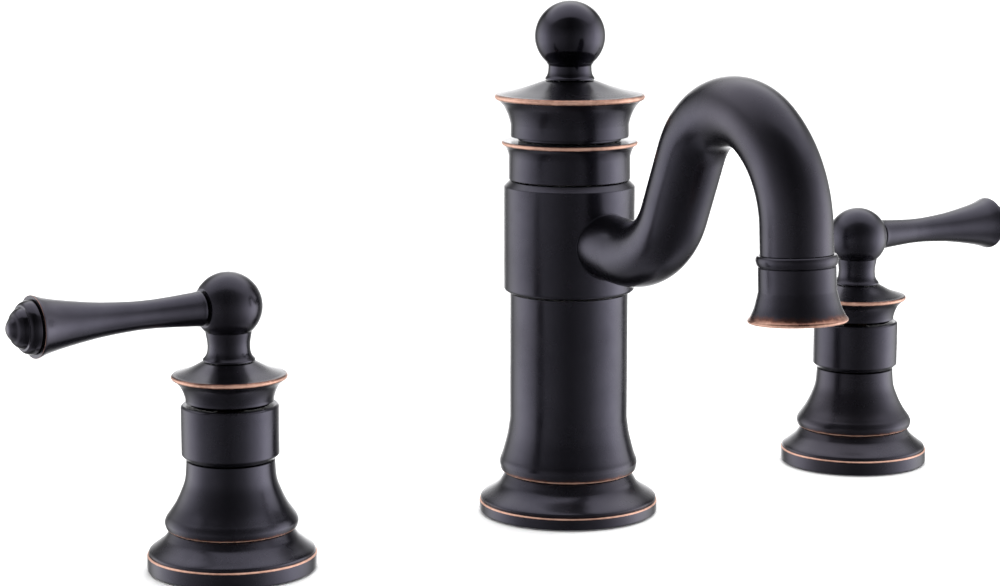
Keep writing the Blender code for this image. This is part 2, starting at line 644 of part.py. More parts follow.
def make_hub(side, finishes, axis):
    """Hub that covers the stem, its set screw, and the ball screwed into its top."""
    stem_bore = STEM_RADIUS + CLEARANCE
    stud_bore = STUD_RADIUS + CLEARANCE
    stud_floor = HUB_TOP - STUD_LENGTH
    outline = flared_outline(
        HUB_BOTTOM, HUB_SKIRT_RADIUS, HUB_SKIRT_LENGTH, HUB_FLARE_WIDTH, HUB_FLARE_LENGTH, HUB_RIM_THICKNESS
    )
    outline += [(HUB_FOOT_RADIUS, HUB_TOP), (stud_bore, HUB_TOP), (stud_bore, stud_floor), (0.0, stud_floor)]
    stem_socket = [(0.0, STEM_TOP + CLEARANCE), (stem_bore, STEM_TOP + CLEARANCE), (stem_bore, HUB_BOTTOM)]
    hub = turned(f"hub_{side}", stem_socket + outline, HANDLE_STEPS, finishes["bronze"], axis)
    screw_start = STEM_RADIUS + CLEARANCE
    screw_end = HUB_SKIRT_RADIUS - SET_SCREW_RECESS
    screw_height = HUB_BOTTOM + SET_SCREW_EDGE + SET_SCREW_RADIUS
    drill(
        hub,
        f"set_screw_hole_{side}",
        (0.0, STEM_RADIUS / 2.0, screw_height),
        (0.0, HUB_RIM_RADIUS + OVERRUN, screw_height),
        SET_SCREW_RADIUS + CLEARANCE,
        SMALL_STEPS,
    )
    rod(
        f"set_screw_{side}",
        (0.0, screw_start, screw_height),
        (0.0, screw_end, screw_height),
        SET_SCREW_RADIUS,
        SMALL_STEPS,
        finishes["steel"],
        axis,
    )

    stud = stud_outline(STUD_RADIUS, STUD_LENGTH - CLEARANCE, BALL_FOOT)
    ball = ball_outline(
        HUB_FOOT_RADIUS,
        BALL_FOOT,
        WAIST_RADIUS,
        WAIST_RISE,
        WAIST_LENGTH,
        BALL_JOINT_RADIUS,
        BALL_RADIUS,
        BALL_NECK,
    )
    return turned(f"handle_ball_{side}", stud + ball, HANDLE_STEPS, finishes["bronze"], axis)


def make_lever(side, outward, ball, finishes, axis):
    """Trumpet lever screwed into the ball's flat boss, with its stepped cap."""
    stud_start = LEVER_START - STUD_LENGTH
    face = (outward * BOSS_FACE, 0.0, BALL_HEIGHT)
    beyond = (outward * (BALL_RADIUS + OVERRUN), 0.0, BALL_HEIGHT)
    drill(ball, f"boss_cut_{side}", face, beyond, BALL_RADIUS, INNER_STEPS)
    socket_start = (outward * (stud_start - CLEARANCE), 0.0, BALL_HEIGHT)
    drill(ball, f"lever_socket_{side}", socket_start, beyond, STUD_RADIUS + CLEARANCE, SMALL_STEPS)

    cap_bore = STUD_RADIUS + CLEARANCE
    cap_floor = LEVER_END - CAP_STUD_LENGTH
    root = (LEVER_ROOT_RADIUS, LEVER_ROOT + EDGE_BREAK)
    waist = (LEVER_WAIST_RADIUS, LEVER_WAIST)
    end_edge = LEVER_END - LEVER_BEVEL
    lever = [
        (0.0, stud_start),
        (STUD_RADIUS, stud_start),
        (STUD_RADIUS, LEVER_START),
        (LEVER_GROOVE_RADIUS, LEVER_START),
        (LEVER_GROOVE_RADIUS, LEVER_ROOT),
        (LEVER_ROOT_RADIUS - EDGE_BREAK, LEVER_ROOT),
        root,
    ]
    lever += between(LEVER_TAPER_SHARES, root, waist)
    lever += between(TRUMPET_SHARES, waist, (LEVER_END_RADIUS, end_edge))
    lever += [
        (LEVER_END_RADIUS - LEVER_BEVEL, LEVER_END),
        (cap_bore, LEVER_END),
        (cap_bore, cap_floor),
        (0.0, cap_floor),
    ]
    cap = stud_outline(STUD_RADIUS, CAP_STUD_LENGTH - CLEARANCE, CAP_BASE)
    cap.append((CAP_BASE_RADIUS, CAP_BASE))
    cap += between(CAP_BASE_SHARES, (CAP_BASE_RADIUS, CAP_BASE), (CAP_STEP_RADIUS, CAP_STEP))
    cap += between(CAP_STEP_SHARES, (CAP_STEP_RADIUS, CAP_STEP), (CAP_NUB_RADIUS, CAP_NUB))
    cap += between(CAP_NUB_SHARES, (CAP_NUB_RADIUS, CAP_NUB), (0.0, CAP_TIP))
    for name, outline in (("lever", lever), ("lever_cap", cap)):
        piece = turned(f"{name}_{side}", outline, LEVER_STEPS, finishes["bronze"], axis)
        piece.location = (0.0, 0.0, BALL_HEIGHT)
        piece.rotation_euler = (0.0, outward * radians(90), 0.0)


def make_handle(side, outward, finishes):
    """One valve column and the lever handle that turns on it."""
    place = (outward * HANDLE_OFFSET, 0.0, 0.0)
    column = make_axis(f"{side}_column", place)
    axis = make_axis(f"{side}_handle_axis", place)
    make_clamp(side, HANDLE_STEPS, HANDLE_GASKET_WIDTH, finishes, column)
    make_valve_body(side, -outward, finishes, column)
    make_cartridge(side, finishes, column, axis)
    make_handle_column(side, finishes, column)
    ball = make_hub(side, finishes, axis)
    make_lever(side, outward, ball, finishes, axis)


def o_ring_heights():
    return [NECK_AXIS_HEIGHT - O_RING_SPACING / 2.0, NECK_AXIS_HEIGHT + O_RING_SPACING / 2.0]


def make_post(finishes, column):
    """Brass post with its water gallery and two O-ring grooves, clamped through the deck."""
    groove = POST_RADIUS - O_RING_SECTION - CLEARANCE
    cuts = [(height, O_RING_SECTION / 2.0 + CLEARANCE) for height in o_ring_heights()]
    cuts.append((NECK_AXIS_HEIGHT, GALLERY_WIDTH / 2.0))
    outline = [
        (0.0, SHANK_BOTTOM),
        (SHANK_RADIUS - EDGE_BREAK, SHANK_BOTTOM),
        (SHANK_RADIUS, SHANK_BOTTOM + EDGE_BREAK),
        (SHANK_RADIUS, COLUMN_BOTTOM),
        (POST_RADIUS, COLUMN_BOTTOM),
    ]
    for height, half in sorted(cuts):
        outline += [(POST_RADIUS, height - half), (groove, height - half)]
        outline += [(groove, height + half), (POST_RADIUS, height + half)]
    outline += [
        (POST_RADIUS, POST_SHOULDER),
        (POST_SPIGOT_RADIUS, POST_SHOULDER),
        (POST_SPIGOT_RADIUS, POST_TOP),
        (0.0, POST_TOP),
    ]
    post = turned("spout_post", outline, INNER_STEPS, finishes["brass"], column)
    bottom = (0.0, 0.0, SHANK_BOTTOM - OVERRUN)
    crossing = (0.0, 0.0, NECK_AXIS_HEIGHT + WATERWAY_RADIUS)
    drill(post, "post_waterway", bottom, crossing, WATERWAY_RADIUS, SMALL_STEPS)
    drill(
        post,
        "post_cross_port",
        (0.0, 0.0, NECK_AXIS_HEIGHT),
        (0.0, -POST_RADIUS, NECK_AXIS_HEIGHT),
        WATERWAY_RADIUS,
        SMALL_STEPS,
    )
    section = O_RING_SECTION / 2.0
    centre_radius = POST_RADIUS - section
    for name, height in zip(("lower", "upper"), o_ring_heights()):
        ring = arc((centre_radius, height), section, 0.0, 360.0, SMALL_STEPS // 2 + 1)[:-1]
        turned(f"o_ring_{name}", ring, INNER_STEPS, finishes["rubber"], column)


def make_spout_column(finishes, column):
    """Flange and column tube that stand round the post."""
    flange = flange_outline(
        SPOUT_FLANGE_RADIUS,
        SPOUT_FLANGE_ROUNDING,
        SPOUT_FLANGE_EDGE,
        SPOUT_FLANGE_TOP_RADIUS,
        SPOUT_FLANGE_TOP,
        SPOUT_OGEE_SHARES,
        SPOUT_GASKET_WIDTH,
    )
    turned("base_flange_spout", flange, SPOUT_STEPS, finishes["bronze"], column)
    bore = POST_RADIUS + CLEARANCE
    lip = (COLUMN_LIP_RADIUS, COLUMN_BOTTOM + COLUMN_LIP_RISE)
    lip_foot = (COLUMN_LIP_RADIUS - COLUMN_LIP_INSET, COLUMN_BOTTOM)
    flare_top = (COLUMN_RADIUS, lip[1] + COLUMN_FLARE_LENGTH)
    outline = between(LIP_UNDER_SHARES, lip_foot, lip) + between(COLUMN_SHARES, lip, flare_top)
    outline += [(COLUMN_RADIUS, COLUMN_TOP), (bore, COLUMN_TOP), (bore, COLUMN_BOTTOM)]
    turned("column", outline, SPOUT_STEPS, finishes["bronze"], column)


def make_thrust_washer(name, bottom, finishes, parent):
    inner = POST_RADIUS + 2.0 * CLEARANCE
    outline = ring_outline(inner, inner + THRUST_WASHER_WIDTH, bottom, bottom + THRUST_WASHER_THICKNESS)
    turned(name, outline, INNER_STEPS, finishes["nylon"], parent)


def neck_runs():
    """(length, turn) of each stretch of the neck's axis; a turn to the left is positive."""
    lower_turn = radians(90 - NECK_RISE_LEAN + NECK_DIP)
    outer_turn = radians(OUTER_BEND_TURN)
    arch_turn = radians(180 - NECK_RISE_LEAN - NECK_DROP_LEAN) - outer_turn
    return (
        (NECK_ROOT_RUN, 0.0),
        (LOWER_BEND_RADIUS * lower_turn, lower_turn),
        (NECK_RISE_RUN, 0.0),
        (ARCH_RADIUS * arch_turn, -arch_turn),
        (OUTER_BEND_RADIUS * outer_turn, -outer_turn),
        (NECK_DROP_RUN, 0.0),
    )


def neck_axis(distance):
    """Point (forward, height) and heading of the neck's axis at a distance along it."""
    forward, height, heading = 0.0, NECK_AXIS_HEIGHT, -radians(NECK_DIP)
    for length, turn in neck_runs():
        part = min(distance, length)
        ahead = heading + turn * part / length
        if turn:
            radius = length / turn
            forward += radius * (sin(ahead) - sin(heading))
            height -= radius * (cos(ahead) - cos(heading))
        else:
            forward += part * cos(heading)
            height += part * sin(heading)
        heading = ahead
        distance -= part
    return forward, height, heading


def neck_hoop(distance, radius):
    forward, height, heading = neck_axis(distance)
    centre = Vector((0.0, -forward, height))
    up = Vector((0.0, sin(heading), cos(heading)))
    return centre, Vector((1.0, 0.0, 0.0)), up, radius


def make_swan_neck(finishes, axis):
    """Tube along the neck's axis, bored for water and counterbored for the outlet's spigot."""
    root, lower, rise, arch, outer, drop = [length for length, turn in neck_runs()]
    arch_start = root + lower + rise
    outer_start = arch_start + arch
    start = NECK_SOCKET + CLEARANCE
    end = outer_start + outer + drop - BEAD_CENTRE - BEAD_HALF_WIDTH - CLEARANCE
    counterbore = end - SPIGOT_LENGTH - CLEARANCE
    stops = [start, root]
    stops += [root + lower * hoop / LOWER_BEND_HOOPS for hoop in range(1, LOWER_BEND_HOOPS + 1)]
    stops += [arch_start + arch * hoop / ARCH_HOOPS for hoop in range(ARCH_HOOPS + 1)]
    stops += [outer_start + outer * hoop / OUTER_BEND_HOOPS for hoop in range(1, OUTER_BEND_HOOPS + 1)]
    stops.append(end)
    outside = []
    for stop in stops:
        swell = max(0.0, stop - arch_start) / (end - arch_start)
        outside.append(neck_hoop(stop, NECK_RADIUS + NECK_SWELL * swell))
    spigot_bore = SPIGOT_RADIUS + CLEARANCE
    inside = [neck_hoop(end, spigot_bore), neck_hoop(counterbore, spigot_bore)]
    bore_stops = [counterbore] + stops[-2:0:-2] + [start]
    inside += [neck_hoop(stop, WATERWAY_RADIUS) for stop in bore_stops]
    hooped("swan_neck", outside + inside, NECK_STEPS, finishes["bronze"], axis)


def make_spout_collar(finishes, axis):
    """Swivelling ring with recesses for its thrust washers and the neck's socket in its front."""
    bottom = SPOUT_COLLAR_BOTTOM
    bore = POST_RADIUS + CLEARANCE
    recess_depth = THRUST_WASHER_THICKNESS + CLEARANCE
    rounding = SPOUT_COLLAR_ROUNDING
    outline = arc((SPOUT_COLLAR_RADIUS - rounding, bottom + rounding), rounding, -90.0, 0.0, ROUND_POINTS)
    outline += [
        (SPOUT_COLLAR_RADIUS, SPOUT_COLLAR_TOP - SPOUT_COLLAR_CHAMFER),
        (SPOUT_COLLAR_RADIUS - SPOUT_COLLAR_CHAMFER, SPOUT_COLLAR_TOP),
        (WASHER_RECESS_RADIUS, SPOUT_COLLAR_TOP),
        (WASHER_RECESS_RADIUS, SPOUT_COLLAR_TOP - recess_depth),
        (bore, SPOUT_COLLAR_TOP - recess_depth),
        (bore, bottom + recess_depth),
        (WASHER_RECESS_RADIUS, bottom + recess_depth),
        (WASHER_RECESS_RADIUS, bottom),
    ]
    collar = turned("spout_collar", outline, SPOUT_STEPS, finishes["bronze"], axis)
    run = Vector((0.0, -cos(radians(NECK_DIP)), -sin(radians(NECK_DIP))))
    origin = Vector((0.0, 0.0, NECK_AXIS_HEIGHT))
    beyond = origin + run * (SPOUT_COLLAR_RADIUS + OVERRUN)
    drill(collar, "neck_socket", origin + run * NECK_SOCKET, beyond, NECK_RADIUS + CLEARANCE, NECK_STEPS)
    drill(collar, "collar_port", origin + run * SHANK_RADIUS, beyond, WATERWAY_RADIUS, SMALL_STEPS)
    washer_bottom = COLUMN_TOP + CLEARANCE
    make_thrust_washer("thrust_washer_lower", washer_bottom, finishes, axis)
    upper_bottom = SPOUT_COLLAR_TOP - recess_depth + CLEARANCE
    make_thrust_washer("thrust_washer_upper", upper_bottom, finishes, axis)


def place_at_mouth(piece):
    """Stands a piece turned about Z on the mouth, with Z pointing back up the outlet."""
    forward, height, heading = neck_axis(sum(length for length, turn in neck_runs()))
    piece.location = (0.0, -forward, height)
    piece.rotation_euler = (-(heading + radians(90)), 0.0, 0.0)


def make_outlet(finishes, axis):
    """Beaded bell on the neck's end, holding the aerator."""
    head_bore = AERATOR_HEAD_RADIUS + CLEARANCE
    body_bore = AERATOR_RADIUS + CLEARANCE
    head_top = AERATOR_RECESS + AERATOR_HEAD + CLEARANCE
    cavity_top = AERATOR_TOP + CLEARANCE
    bead_bottom = BEAD_CENTRE - BEAD_HALF_WIDTH
    bead_top = BEAD_CENTRE + BEAD_HALF_WIDTH
    spigot_top = bead_top + SPIGOT_LENGTH
    flare_start = (MOUTH_RADIUS, 2.0 * MOUTH_EDGE)
    outline = [
        (head_bore, AERATOR_RECESS),
        (head_bore + EDGE_BREAK, MOUTH_EDGE),
        (MOUTH_RADIUS - 2.0 * MOUTH_EDGE, 0.0),
        (MOUTH_RADIUS - MOUTH_EDGE, 0.0),
        (MOUTH_RADIUS, MOUTH_EDGE),
        flare_start,
    ]
    outline += between(MOUTH_SHARES, flare_start, (OUTLET_WAIST_RADIUS, MOUTH_FLARE))
    outline += [
        (OUTLET_WAIST_RADIUS, bead_bottom),
        (BEAD_RADIUS - BEAD_RISE / 3.0, bead_bottom + BEAD_RISE / 2.0),
        (BEAD_RADIUS, BEAD_CENTRE),
        (BEAD_RADIUS - BEAD_RISE / 3.0, bead_top - BEAD_RISE / 2.0),
        (NECK_TIP_RADIUS, bead_top),
        (SPIGOT_RADIUS, bead_top),
        (SPIGOT_RADIUS, spigot_top),
        (WATERWAY_RADIUS, spigot_top),
        (WATERWAY_RADIUS, cavity_top),
        (body_bore, cavity_top),
        (body_bore, head_top),
        (head_bore, head_top),
    ]
    place_at_mouth(turned("outlet_bell", outline, SPOUT_STEPS, finishes["bronze"], axis))

    bore = AERATOR_RADIUS - AERATOR_WALL
    head_end = AERATOR_RECESS + AERATOR_HEAD
    housing = [
        (bore - AERATOR_LIP, AERATOR_RECESS),
        (AERATOR_HEAD_RADIUS, AERATOR_RECESS),
        (AERATOR_HEAD_RADIUS, head_end),
        (AERATOR_RADIUS, head_end),
        (AERATOR_RADIUS, AERATOR_TOP),
        (bore, AERATOR_TOP),
        (bore, AERATOR_RECESS + AERATOR_LIP),
        (bore - AERATOR_LIP, AERATOR_RECESS + AERATOR_LIP),
    ]
    place_at_mouth(turned("aerator_housing", housing, INNER_STEPS, finishes["brass"], axis))
    insert_radius = bore - CLEARANCE
    screen_bottom = AERATOR_RECESS + AERATOR_LIP + CLEARANCE
    screen_top = screen_bottom + SCREEN_THICKNESS
    regulator_bottom = screen_top + CLEARANCE
    screen_ends = (0.0, 0.0, screen_bottom), (0.0, 0.0, screen_top)
    regulator_ends = (0.0, 0.0, regulator_bottom), (0.0, 0.0, AERATOR_TOP)
    place_at_mouth(rod("aerator_screen", *screen_ends, insert_radius, INNER_STEPS, finishes["steel"], axis))
    place_at_mouth(rod("flow_regulator", *regulator_ends, insert_radius, INNER_STEPS, finishes["nylon"], axis))


def make_top(finishes, column):
    """Retaining ring on the post's shoulder, then the finial cap on its boss, and its ball."""
    post_bore = POST_RADIUS + CLEARANCE
    spigot_bore = POST_SPIGOT_RADIUS + CLEARANCE
    shoulder = POST_SHOULDER + CLEARANCE
    retainer = flared_outline(
        RETAINER_BOTTOM,
        RETAINER_RADIUS,
        RETAINER_SKIRT_LENGTH,
        RETAINER_FLARE_WIDTH,
        RETAINER_FLARE_LENGTH,
        RETAINER_RIM_THICKNESS,
    )
    retainer += [
        (spigot_bore, RETAINER_TOP),
        (spigot_bore, shoulder),
        (post_bore, shoulder),
        (post_bore, RETAINER_BOTTOM),
    ]
    turned("retaining_ring", retainer, SPOUT_STEPS, finishes["bronze"], column)

    stud_bore = STUD_RADIUS + CLEARANCE
    stud_floor = FINIAL_CAP_TOP - FINIAL_STUD_LENGTH
    cap_floor = POST_TOP + CLEARANCE
    boss_foot = RETAINER_TOP + CLEARANCE
    cap = [
        (0.0, cap_floor),
        (spigot_bore, cap_floor),
        (spigot_bore, boss_foot),
        (FINIAL_BOSS_RADIUS, boss_foot),
        (FINIAL_BOSS_RADIUS, FINIAL_CAP_BOTTOM),
    ]
    cap += flared_outline(
        FINIAL_CAP_BOTTOM,
        FINIAL_CAP_RADIUS,
        FINIAL_CAP_SKIRT_LENGTH,
        FINIAL_CAP_FLARE_WIDTH,
        FINIAL_CAP_FLARE_LENGTH,
        FINIAL_CAP_RIM_THICKNESS,
    )
    cap += [
        (FINIAL_FOOT_RADIUS, FINIAL_CAP_TOP),
        (stud_bore, FINIAL_CAP_TOP),
        (stud_bore, stud_floor),
        (0.0, stud_floor),
    ]
    turned("finial_cap", cap, SPOUT_STEPS, finishes["bronze"], column)

    finial = stud_outline(STUD_RADIUS, FINIAL_STUD_LENGTH - CLEARANCE, FINIAL_FOOT)
    finial += ball_outline(
        FINIAL_FOOT_RADIUS,
        FINIAL_FOOT,
        FINIAL_WAIST_RADIUS,
        FINIAL_WAIST_RISE,
        FINIAL_WAIST_LENGTH,
        FINIAL_JOINT_RADIUS,
        FINIAL_RADIUS,
        FINIAL_NECK,
    )
    turned("finial_ball", finial, HANDLE_STEPS, finishes["bronze"], column)


def make_spout(finishes):
    column = make_axis("spout_column_axis", (0.0, 0.0, 0.0))
    axis = make_axis("spout_swivel_axis", (0.0, 0.0, 0.0))
    make_clamp("spout", SPOUT_STEPS, SPOUT_GASKET_WIDTH, finishes, column)
    make_post(finishes, column)
    make_spout_column(finishes, column)
    make_spout_collar(finishes, axis)
    make_swan_neck(finishes, axis)
    make_outlet(finishes, axis)
    make_top(finishes, column)


def main():
    clear_scene()
    finishes = make_materials()
    make_handle("hot", -1.0, finishes)
    make_handle("cold", 1.0, finishes)
    make_spout(finishes)


main()
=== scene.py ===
"""Looks of the widespread bathroom faucet: fine turned metalwork, finishes, studio light and camera.

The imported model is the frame. Each visible turned piece gets a finely turned version on the node's own seat,
with softened edges and a "wear" attribute that says where the dark finish is rubbed through to copper.
Lengths are in metres, angles in degrees. Outlines are (radius, height, wear) points.
"""

import json
from math import asin, cos, degrees, pi, radians, sin, sqrt

import bmesh
import bpy
from mathutils import Matrix, Vector

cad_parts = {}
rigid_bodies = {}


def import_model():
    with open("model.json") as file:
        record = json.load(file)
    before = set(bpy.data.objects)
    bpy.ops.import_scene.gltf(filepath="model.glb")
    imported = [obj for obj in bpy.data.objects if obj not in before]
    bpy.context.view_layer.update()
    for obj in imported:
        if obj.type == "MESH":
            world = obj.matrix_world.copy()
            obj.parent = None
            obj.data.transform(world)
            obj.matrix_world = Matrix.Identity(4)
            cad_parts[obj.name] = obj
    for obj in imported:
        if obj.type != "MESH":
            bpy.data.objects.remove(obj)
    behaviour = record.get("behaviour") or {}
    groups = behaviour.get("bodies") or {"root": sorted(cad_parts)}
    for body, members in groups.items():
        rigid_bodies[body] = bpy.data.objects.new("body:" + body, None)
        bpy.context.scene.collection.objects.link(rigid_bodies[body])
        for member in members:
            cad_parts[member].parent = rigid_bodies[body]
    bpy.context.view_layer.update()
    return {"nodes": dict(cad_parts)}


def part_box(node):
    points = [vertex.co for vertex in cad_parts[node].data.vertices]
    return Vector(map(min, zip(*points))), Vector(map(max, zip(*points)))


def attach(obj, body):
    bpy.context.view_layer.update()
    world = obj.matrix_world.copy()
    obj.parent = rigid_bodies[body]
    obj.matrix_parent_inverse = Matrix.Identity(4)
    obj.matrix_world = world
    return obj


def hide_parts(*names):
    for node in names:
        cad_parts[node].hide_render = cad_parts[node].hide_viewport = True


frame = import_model()

# Camera
CAMERA_PLACE = (-0.496157, -0.678414, 0.2133375)
CAMERA_PITCH = 9.5
CAMERA_YAW = 34.64
CAMERA_LENS = 93.6
SENSOR_WIDTH = 36.0
CAMERA_CLIP = (0.01, 100.0)

# Turning
ROUND_STEPS = 96
SMALL_STEPS = 48
SOFT_EDGE = 0.00025
FINE_EDGE = 0.00012
COPPER_EDGE = 0.00045
GUARD_SHARE = 1.6
CORNER_ANGLE = 22.0
CORNER_POINTS = 5
CORNER_SHARE = 0.4
CORNER_END_WEAR = 0.4
WORN = 0.5
TINY_LENGTH = 1e-7
AXIS_RADIUS = 1e-6
FLOW_CUTS = 6
FINE_CUTS = 8
SIDEWAYS = Vector((1.0, 0.0, 0.0))
CLEARANCE = 0.0003

# Sizes the outlines share with the solids
SHANK_BORE = 0.0133
BONNET_BORE = 0.0119
VALVE_SHOULDER_BORE = 0.0165
VALVE_SHOULDER_HEIGHT = 0.0043
POST_BORE = 0.0158
SPIGOT_BORE = 0.0118
STEM_BORE = 0.0044
STUD_BORE = 0.0033
STUD_RADIUS = 0.0030
GASKET_RECESS_DEPTH = 0.0018

HANDLE_FLANGE = {"top_radius": 0.0188, "edge": 0.0049, "rounding": 0.0008}
HANDLE_OGEE_SHARES = ((0.02, 0.13), (0.40, 0.39), (0.72, 0.63), (0.87, 0.81), (1.0, 1.0))
SPOUT_FLANGE = {"top_radius": 0.0207, "edge": 0.0038, "rounding": 0.0009}
SPOUT_OGEE_SHARES = ((0.01, 0.13), (0.50, 0.41), (0.73, 0.59), (0.86, 0.78), (1.0, 1.0))
FLANGE_RUB = ((0.0, -0.00035, 0.0), (0.0, -0.0002, 0.9), (0.00005, 0.0, 1.0), (0.00025, 0.00016, 1.0))
FLANGE_SHOULDER = (0.00063, 0.0004)
FOOT_POINTS = 7

LIP_UNDER_SHARES = ((0.35, 0.08), (0.62, 0.20), (0.80, 0.38), (1.0, 1.0))
LIP_WEAR = (1.1, 1.05, 0.35, 0.0)
LIP_FOOT_WEAR = 0.95
BELL = {"radius": 0.01345, "rise": 0.0021, "inset": 0.0014, "flare": 0.0}
BELL_SHARES = ((0.03, 0.05), (0.10, 0.10), (0.22, 0.16), (0.48, 0.30), (0.72, 0.48), (0.93, 0.70), (1.0, 1.0))
COLUMN = {"radius": 0.0193, "rise": 0.0029, "inset": 0.0016, "flare": 0.0152}
COLUMN_SHARES = ((0.02, 0.05), (0.07, 0.10), (0.23, 0.19), (0.45, 0.36), (0.78, 0.66), (1.0, 1.0))

COLLAR_CHAMFER = 0.0015
COLLAR_TOP_CHAMFER = 0.0006

FLARE_SHARES = ((0.12, 0.25), (0.30, 0.50), (0.56, 0.75), (1.0, 1.0))
HUB = {"radius": 0.0134, "skirt": 0.0009, "flare": 0.0059, "rim": 0.0016, "rub": 3.6}
RETAINER = {"radius": 0.0198, "skirt": 0.0075, "flare": 0.0036, "rim": 0.0014, "rub": 1.9}
FINIAL_CAP = {"radius": 0.01925, "skirt": 0.0040, "flare": 0.00785, "rim": 0.0019, "rub": 1.9}
RIM_WEAR = 0.30
RIM_ARC = (-70.0, 84.0, 15)
FINIAL_CAP_GAP = 0.0014
FINIAL_BOSS_RADIUS = 0.0168
HUB_FOOT_RADIUS = 0.0079
FINIAL_FOOT_RADIUS = 0.00805
CONE_SAG = 0.00035
CONE_START_RISE = 0.12

SET_SCREW_RADIUS = 0.0015
SET_SCREW_KEY = 0.0009
SET_SCREW_TAPER = 0.9

FOOT_STEP = 0.0005
WAIST_SHARES = ((0.55, 0.28), (0.85, 0.60), (1.0, 1.0))
HANDLE_BALL = {"radius": 0.0104, "foot": 0.0079, "waist": 0.0065, "rise": 0.0034, "length": 0.0020, "joint": 0.0069}
FINIAL_BALL = {"radius": 0.01145, "foot": 0.00805, "waist": 0.0071, "rise": 0.0030, "length": 0.0014, "joint": 0.0076}
JOINT_OVERLAP = 1.02
SUNK_SHARES = (0.6, 0.5)
BALL_POINTS = 60
BALL_START = -88.0
FINIAL_SINK = 12.0
BOSS_RADIUS = 0.0059
BOSS_FACE = sqrt(HANDLE_BALL["radius"] ** 2 - BOSS_RADIUS**2)

LEVER_GROOVE_RADIUS = 0.0044
LEVER_GROOVE_WIDTH = 0.0008
LEVER_ROOT_RADIUS = 0.00535
LEVER_WAIST_RADIUS = 0.00435
LEVER_TAPER_LENGTH = 0.0164
LEVER_END_RADIUS = 0.0092
LEVER_BEVEL = 0.0004
LEVER_END_WEAR = 0.62
TAPER_SHARES = ((0.20, 0.10), (0.60, 0.45), (0.90, 0.78), (1.0, 1.0))
TRUMPET_SHARES = ((0.02, 0.16), (0.18, 0.44), (0.48, 0.71), (0.75, 0.89), (1.0, 1.0))
CAP_BASE_LENGTH = 0.0031
CAP_STEP_LENGTH = 0.0028
CAP_BASE_RADIUS = 0.0080
CAP_STEP_RADIUS = 0.0067
CAP_NUB_RADIUS = 0.0037
# Shares of each step's radius and length
CAP_BASE_SHARES = ((1.0, 0.10), (0.975, 0.45), (0.915, 0.80))
CAP_STEP_SHARES = ((0.885, 0.12), (0.82, 0.46), (0.70, 0.78))
CAP_NUB_SHARES = ((0.93, 0.12), (0.66, 0.58), (0.36, 0.90))
CAP_STEP_INSETS = (0.95, 0.90)
CAP_STEP_RISE = 0.02
CAP_NUB_FOOT = (1.06, 0.04)
CAP_WEAR = (0.1, 0.15, 0.12)

SPOUT_COLLAR_ROUNDING = 0.0012
SPOUT_COLLAR_CHAMFER = 0.0020
COLLAR_POINTS = 8
WASHER_RECESS_RADIUS = 0.0180

NECK_RADIUS = 0.0105
NECK_SWELL = 0.00035
NECK_AXIS_RISE = 0.0182
NECK_DIP = 4.0
NECK_SOCKET = 0.0169
NECK_ROOT_RUN = 0.0309
LOWER_BEND_RADIUS = 0.0241
NECK_RISE_RUN = 0.0217
NECK_RISE_LEAN = 22.0
ARCH_RADIUS = 0.0224
OUTER_BEND_RADIUS = 0.0360
OUTER_BEND_TURN = 51.0
NECK_DROP_LEAN = 3.0
NECK_DROP_RUN = 0.0278
NECK_BORE = 0.0028
NECK_STEP = 0.0012
NECK_BORE_STRIDE = 4
NECK_SHARP_ANGLE = 40
JOINT_BEAD = 0.0003
JOINT_STEPS = 8

MOUTH_RADIUS = 0.01477
MOUTH_EDGE = 0.0005
MOUTH_FLARE = 0.0093
MOUTH_COPPER = 0.0042
MOUTH_FADE = 0.0030
MOUTH_WEAR = 0.62
MOUTH_INNER_EDGE = 3.0 * MOUTH_EDGE
MOUTH_INNER_WEAR = 0.4
MOUTH_ROUNDING = 1.6 * MOUTH_EDGE
MOUTH_ARC = (-80.0, -5.0, 7)
OUTLET_WAIST_RADIUS = 0.0115
BEAD_RADIUS = 0.0121
BEAD_CENTRE = 0.0182
BEAD_HALF_WIDTH = 0.0017
BEAD_GROOVE = 0.0003
BEAD_GAP = 0.0001
BEAD_SHARES = ((0.04, 0.1), (0.22, 0.62), (0.52, 1.0), (0.80, 0.78), (0.97, 0.12))
MOUTH_SHARES = ((0.22, 0.10), (0.60, 0.42), (0.86, 0.78), (1.0, 1.0))
AERATOR_HEAD_BORE = 0.0116
AERATOR_RECESS = 0.0020
AERATOR_HEAD_RADIUS = 0.0113
AERATOR_BORE = 0.0089
AERATOR_LIP = 0.0005
AERATOR_HEAD_TOP = AERATOR_RECESS + 3.0 * AERATOR_LIP
AERATOR_SEAT = AERATOR_RECESS + 4.0 * AERATOR_LIP
SCREEN_RINGS = 5
SCREEN_SPOKES = 24
SCREEN_WIRE = 0.00022
SCREEN_HUB_SHARE = 0.16
WIRE_STEPS = 8

NUT_CHAMFER = 0.0012
NUT_SHARP_ANGLE = 20


def box_span(node):
    """(radius, bottom, top) of a turned node, from its box."""
    low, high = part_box(node)
    return (high.x - low.x) / 2.0, low.z, high.z


def flow(points, cuts=FLOW_CUTS):
    """A Catmull-Rom line through outline points, so that a curve given by a few points has no facets."""
    if len(points) < 3:
        return list(points)
    ends = [Vector(points[0]) * 2.0 - Vector(points[1]), Vector(points[-1]) * 2.0 - Vector(points[-2])]
    line = [ends[0], *[Vector(point) for point in points], ends[1]]
    smooth = []
    for before, start, end, after in zip(line, line[1:], line[2:], line[3:]):
        for cut in range(cuts):
            t = cut / cuts
            point = 2.0 * start + (end - before) * t
            point += (2.0 * before - 5.0 * start + 4.0 * end - after) * t**2
            point += (3.0 * start - before - 3.0 * end + after) * t**3
            smooth.append(0.5 * point)
    smooth.append(line[-2])
    return [tuple(point) for point in smooth]


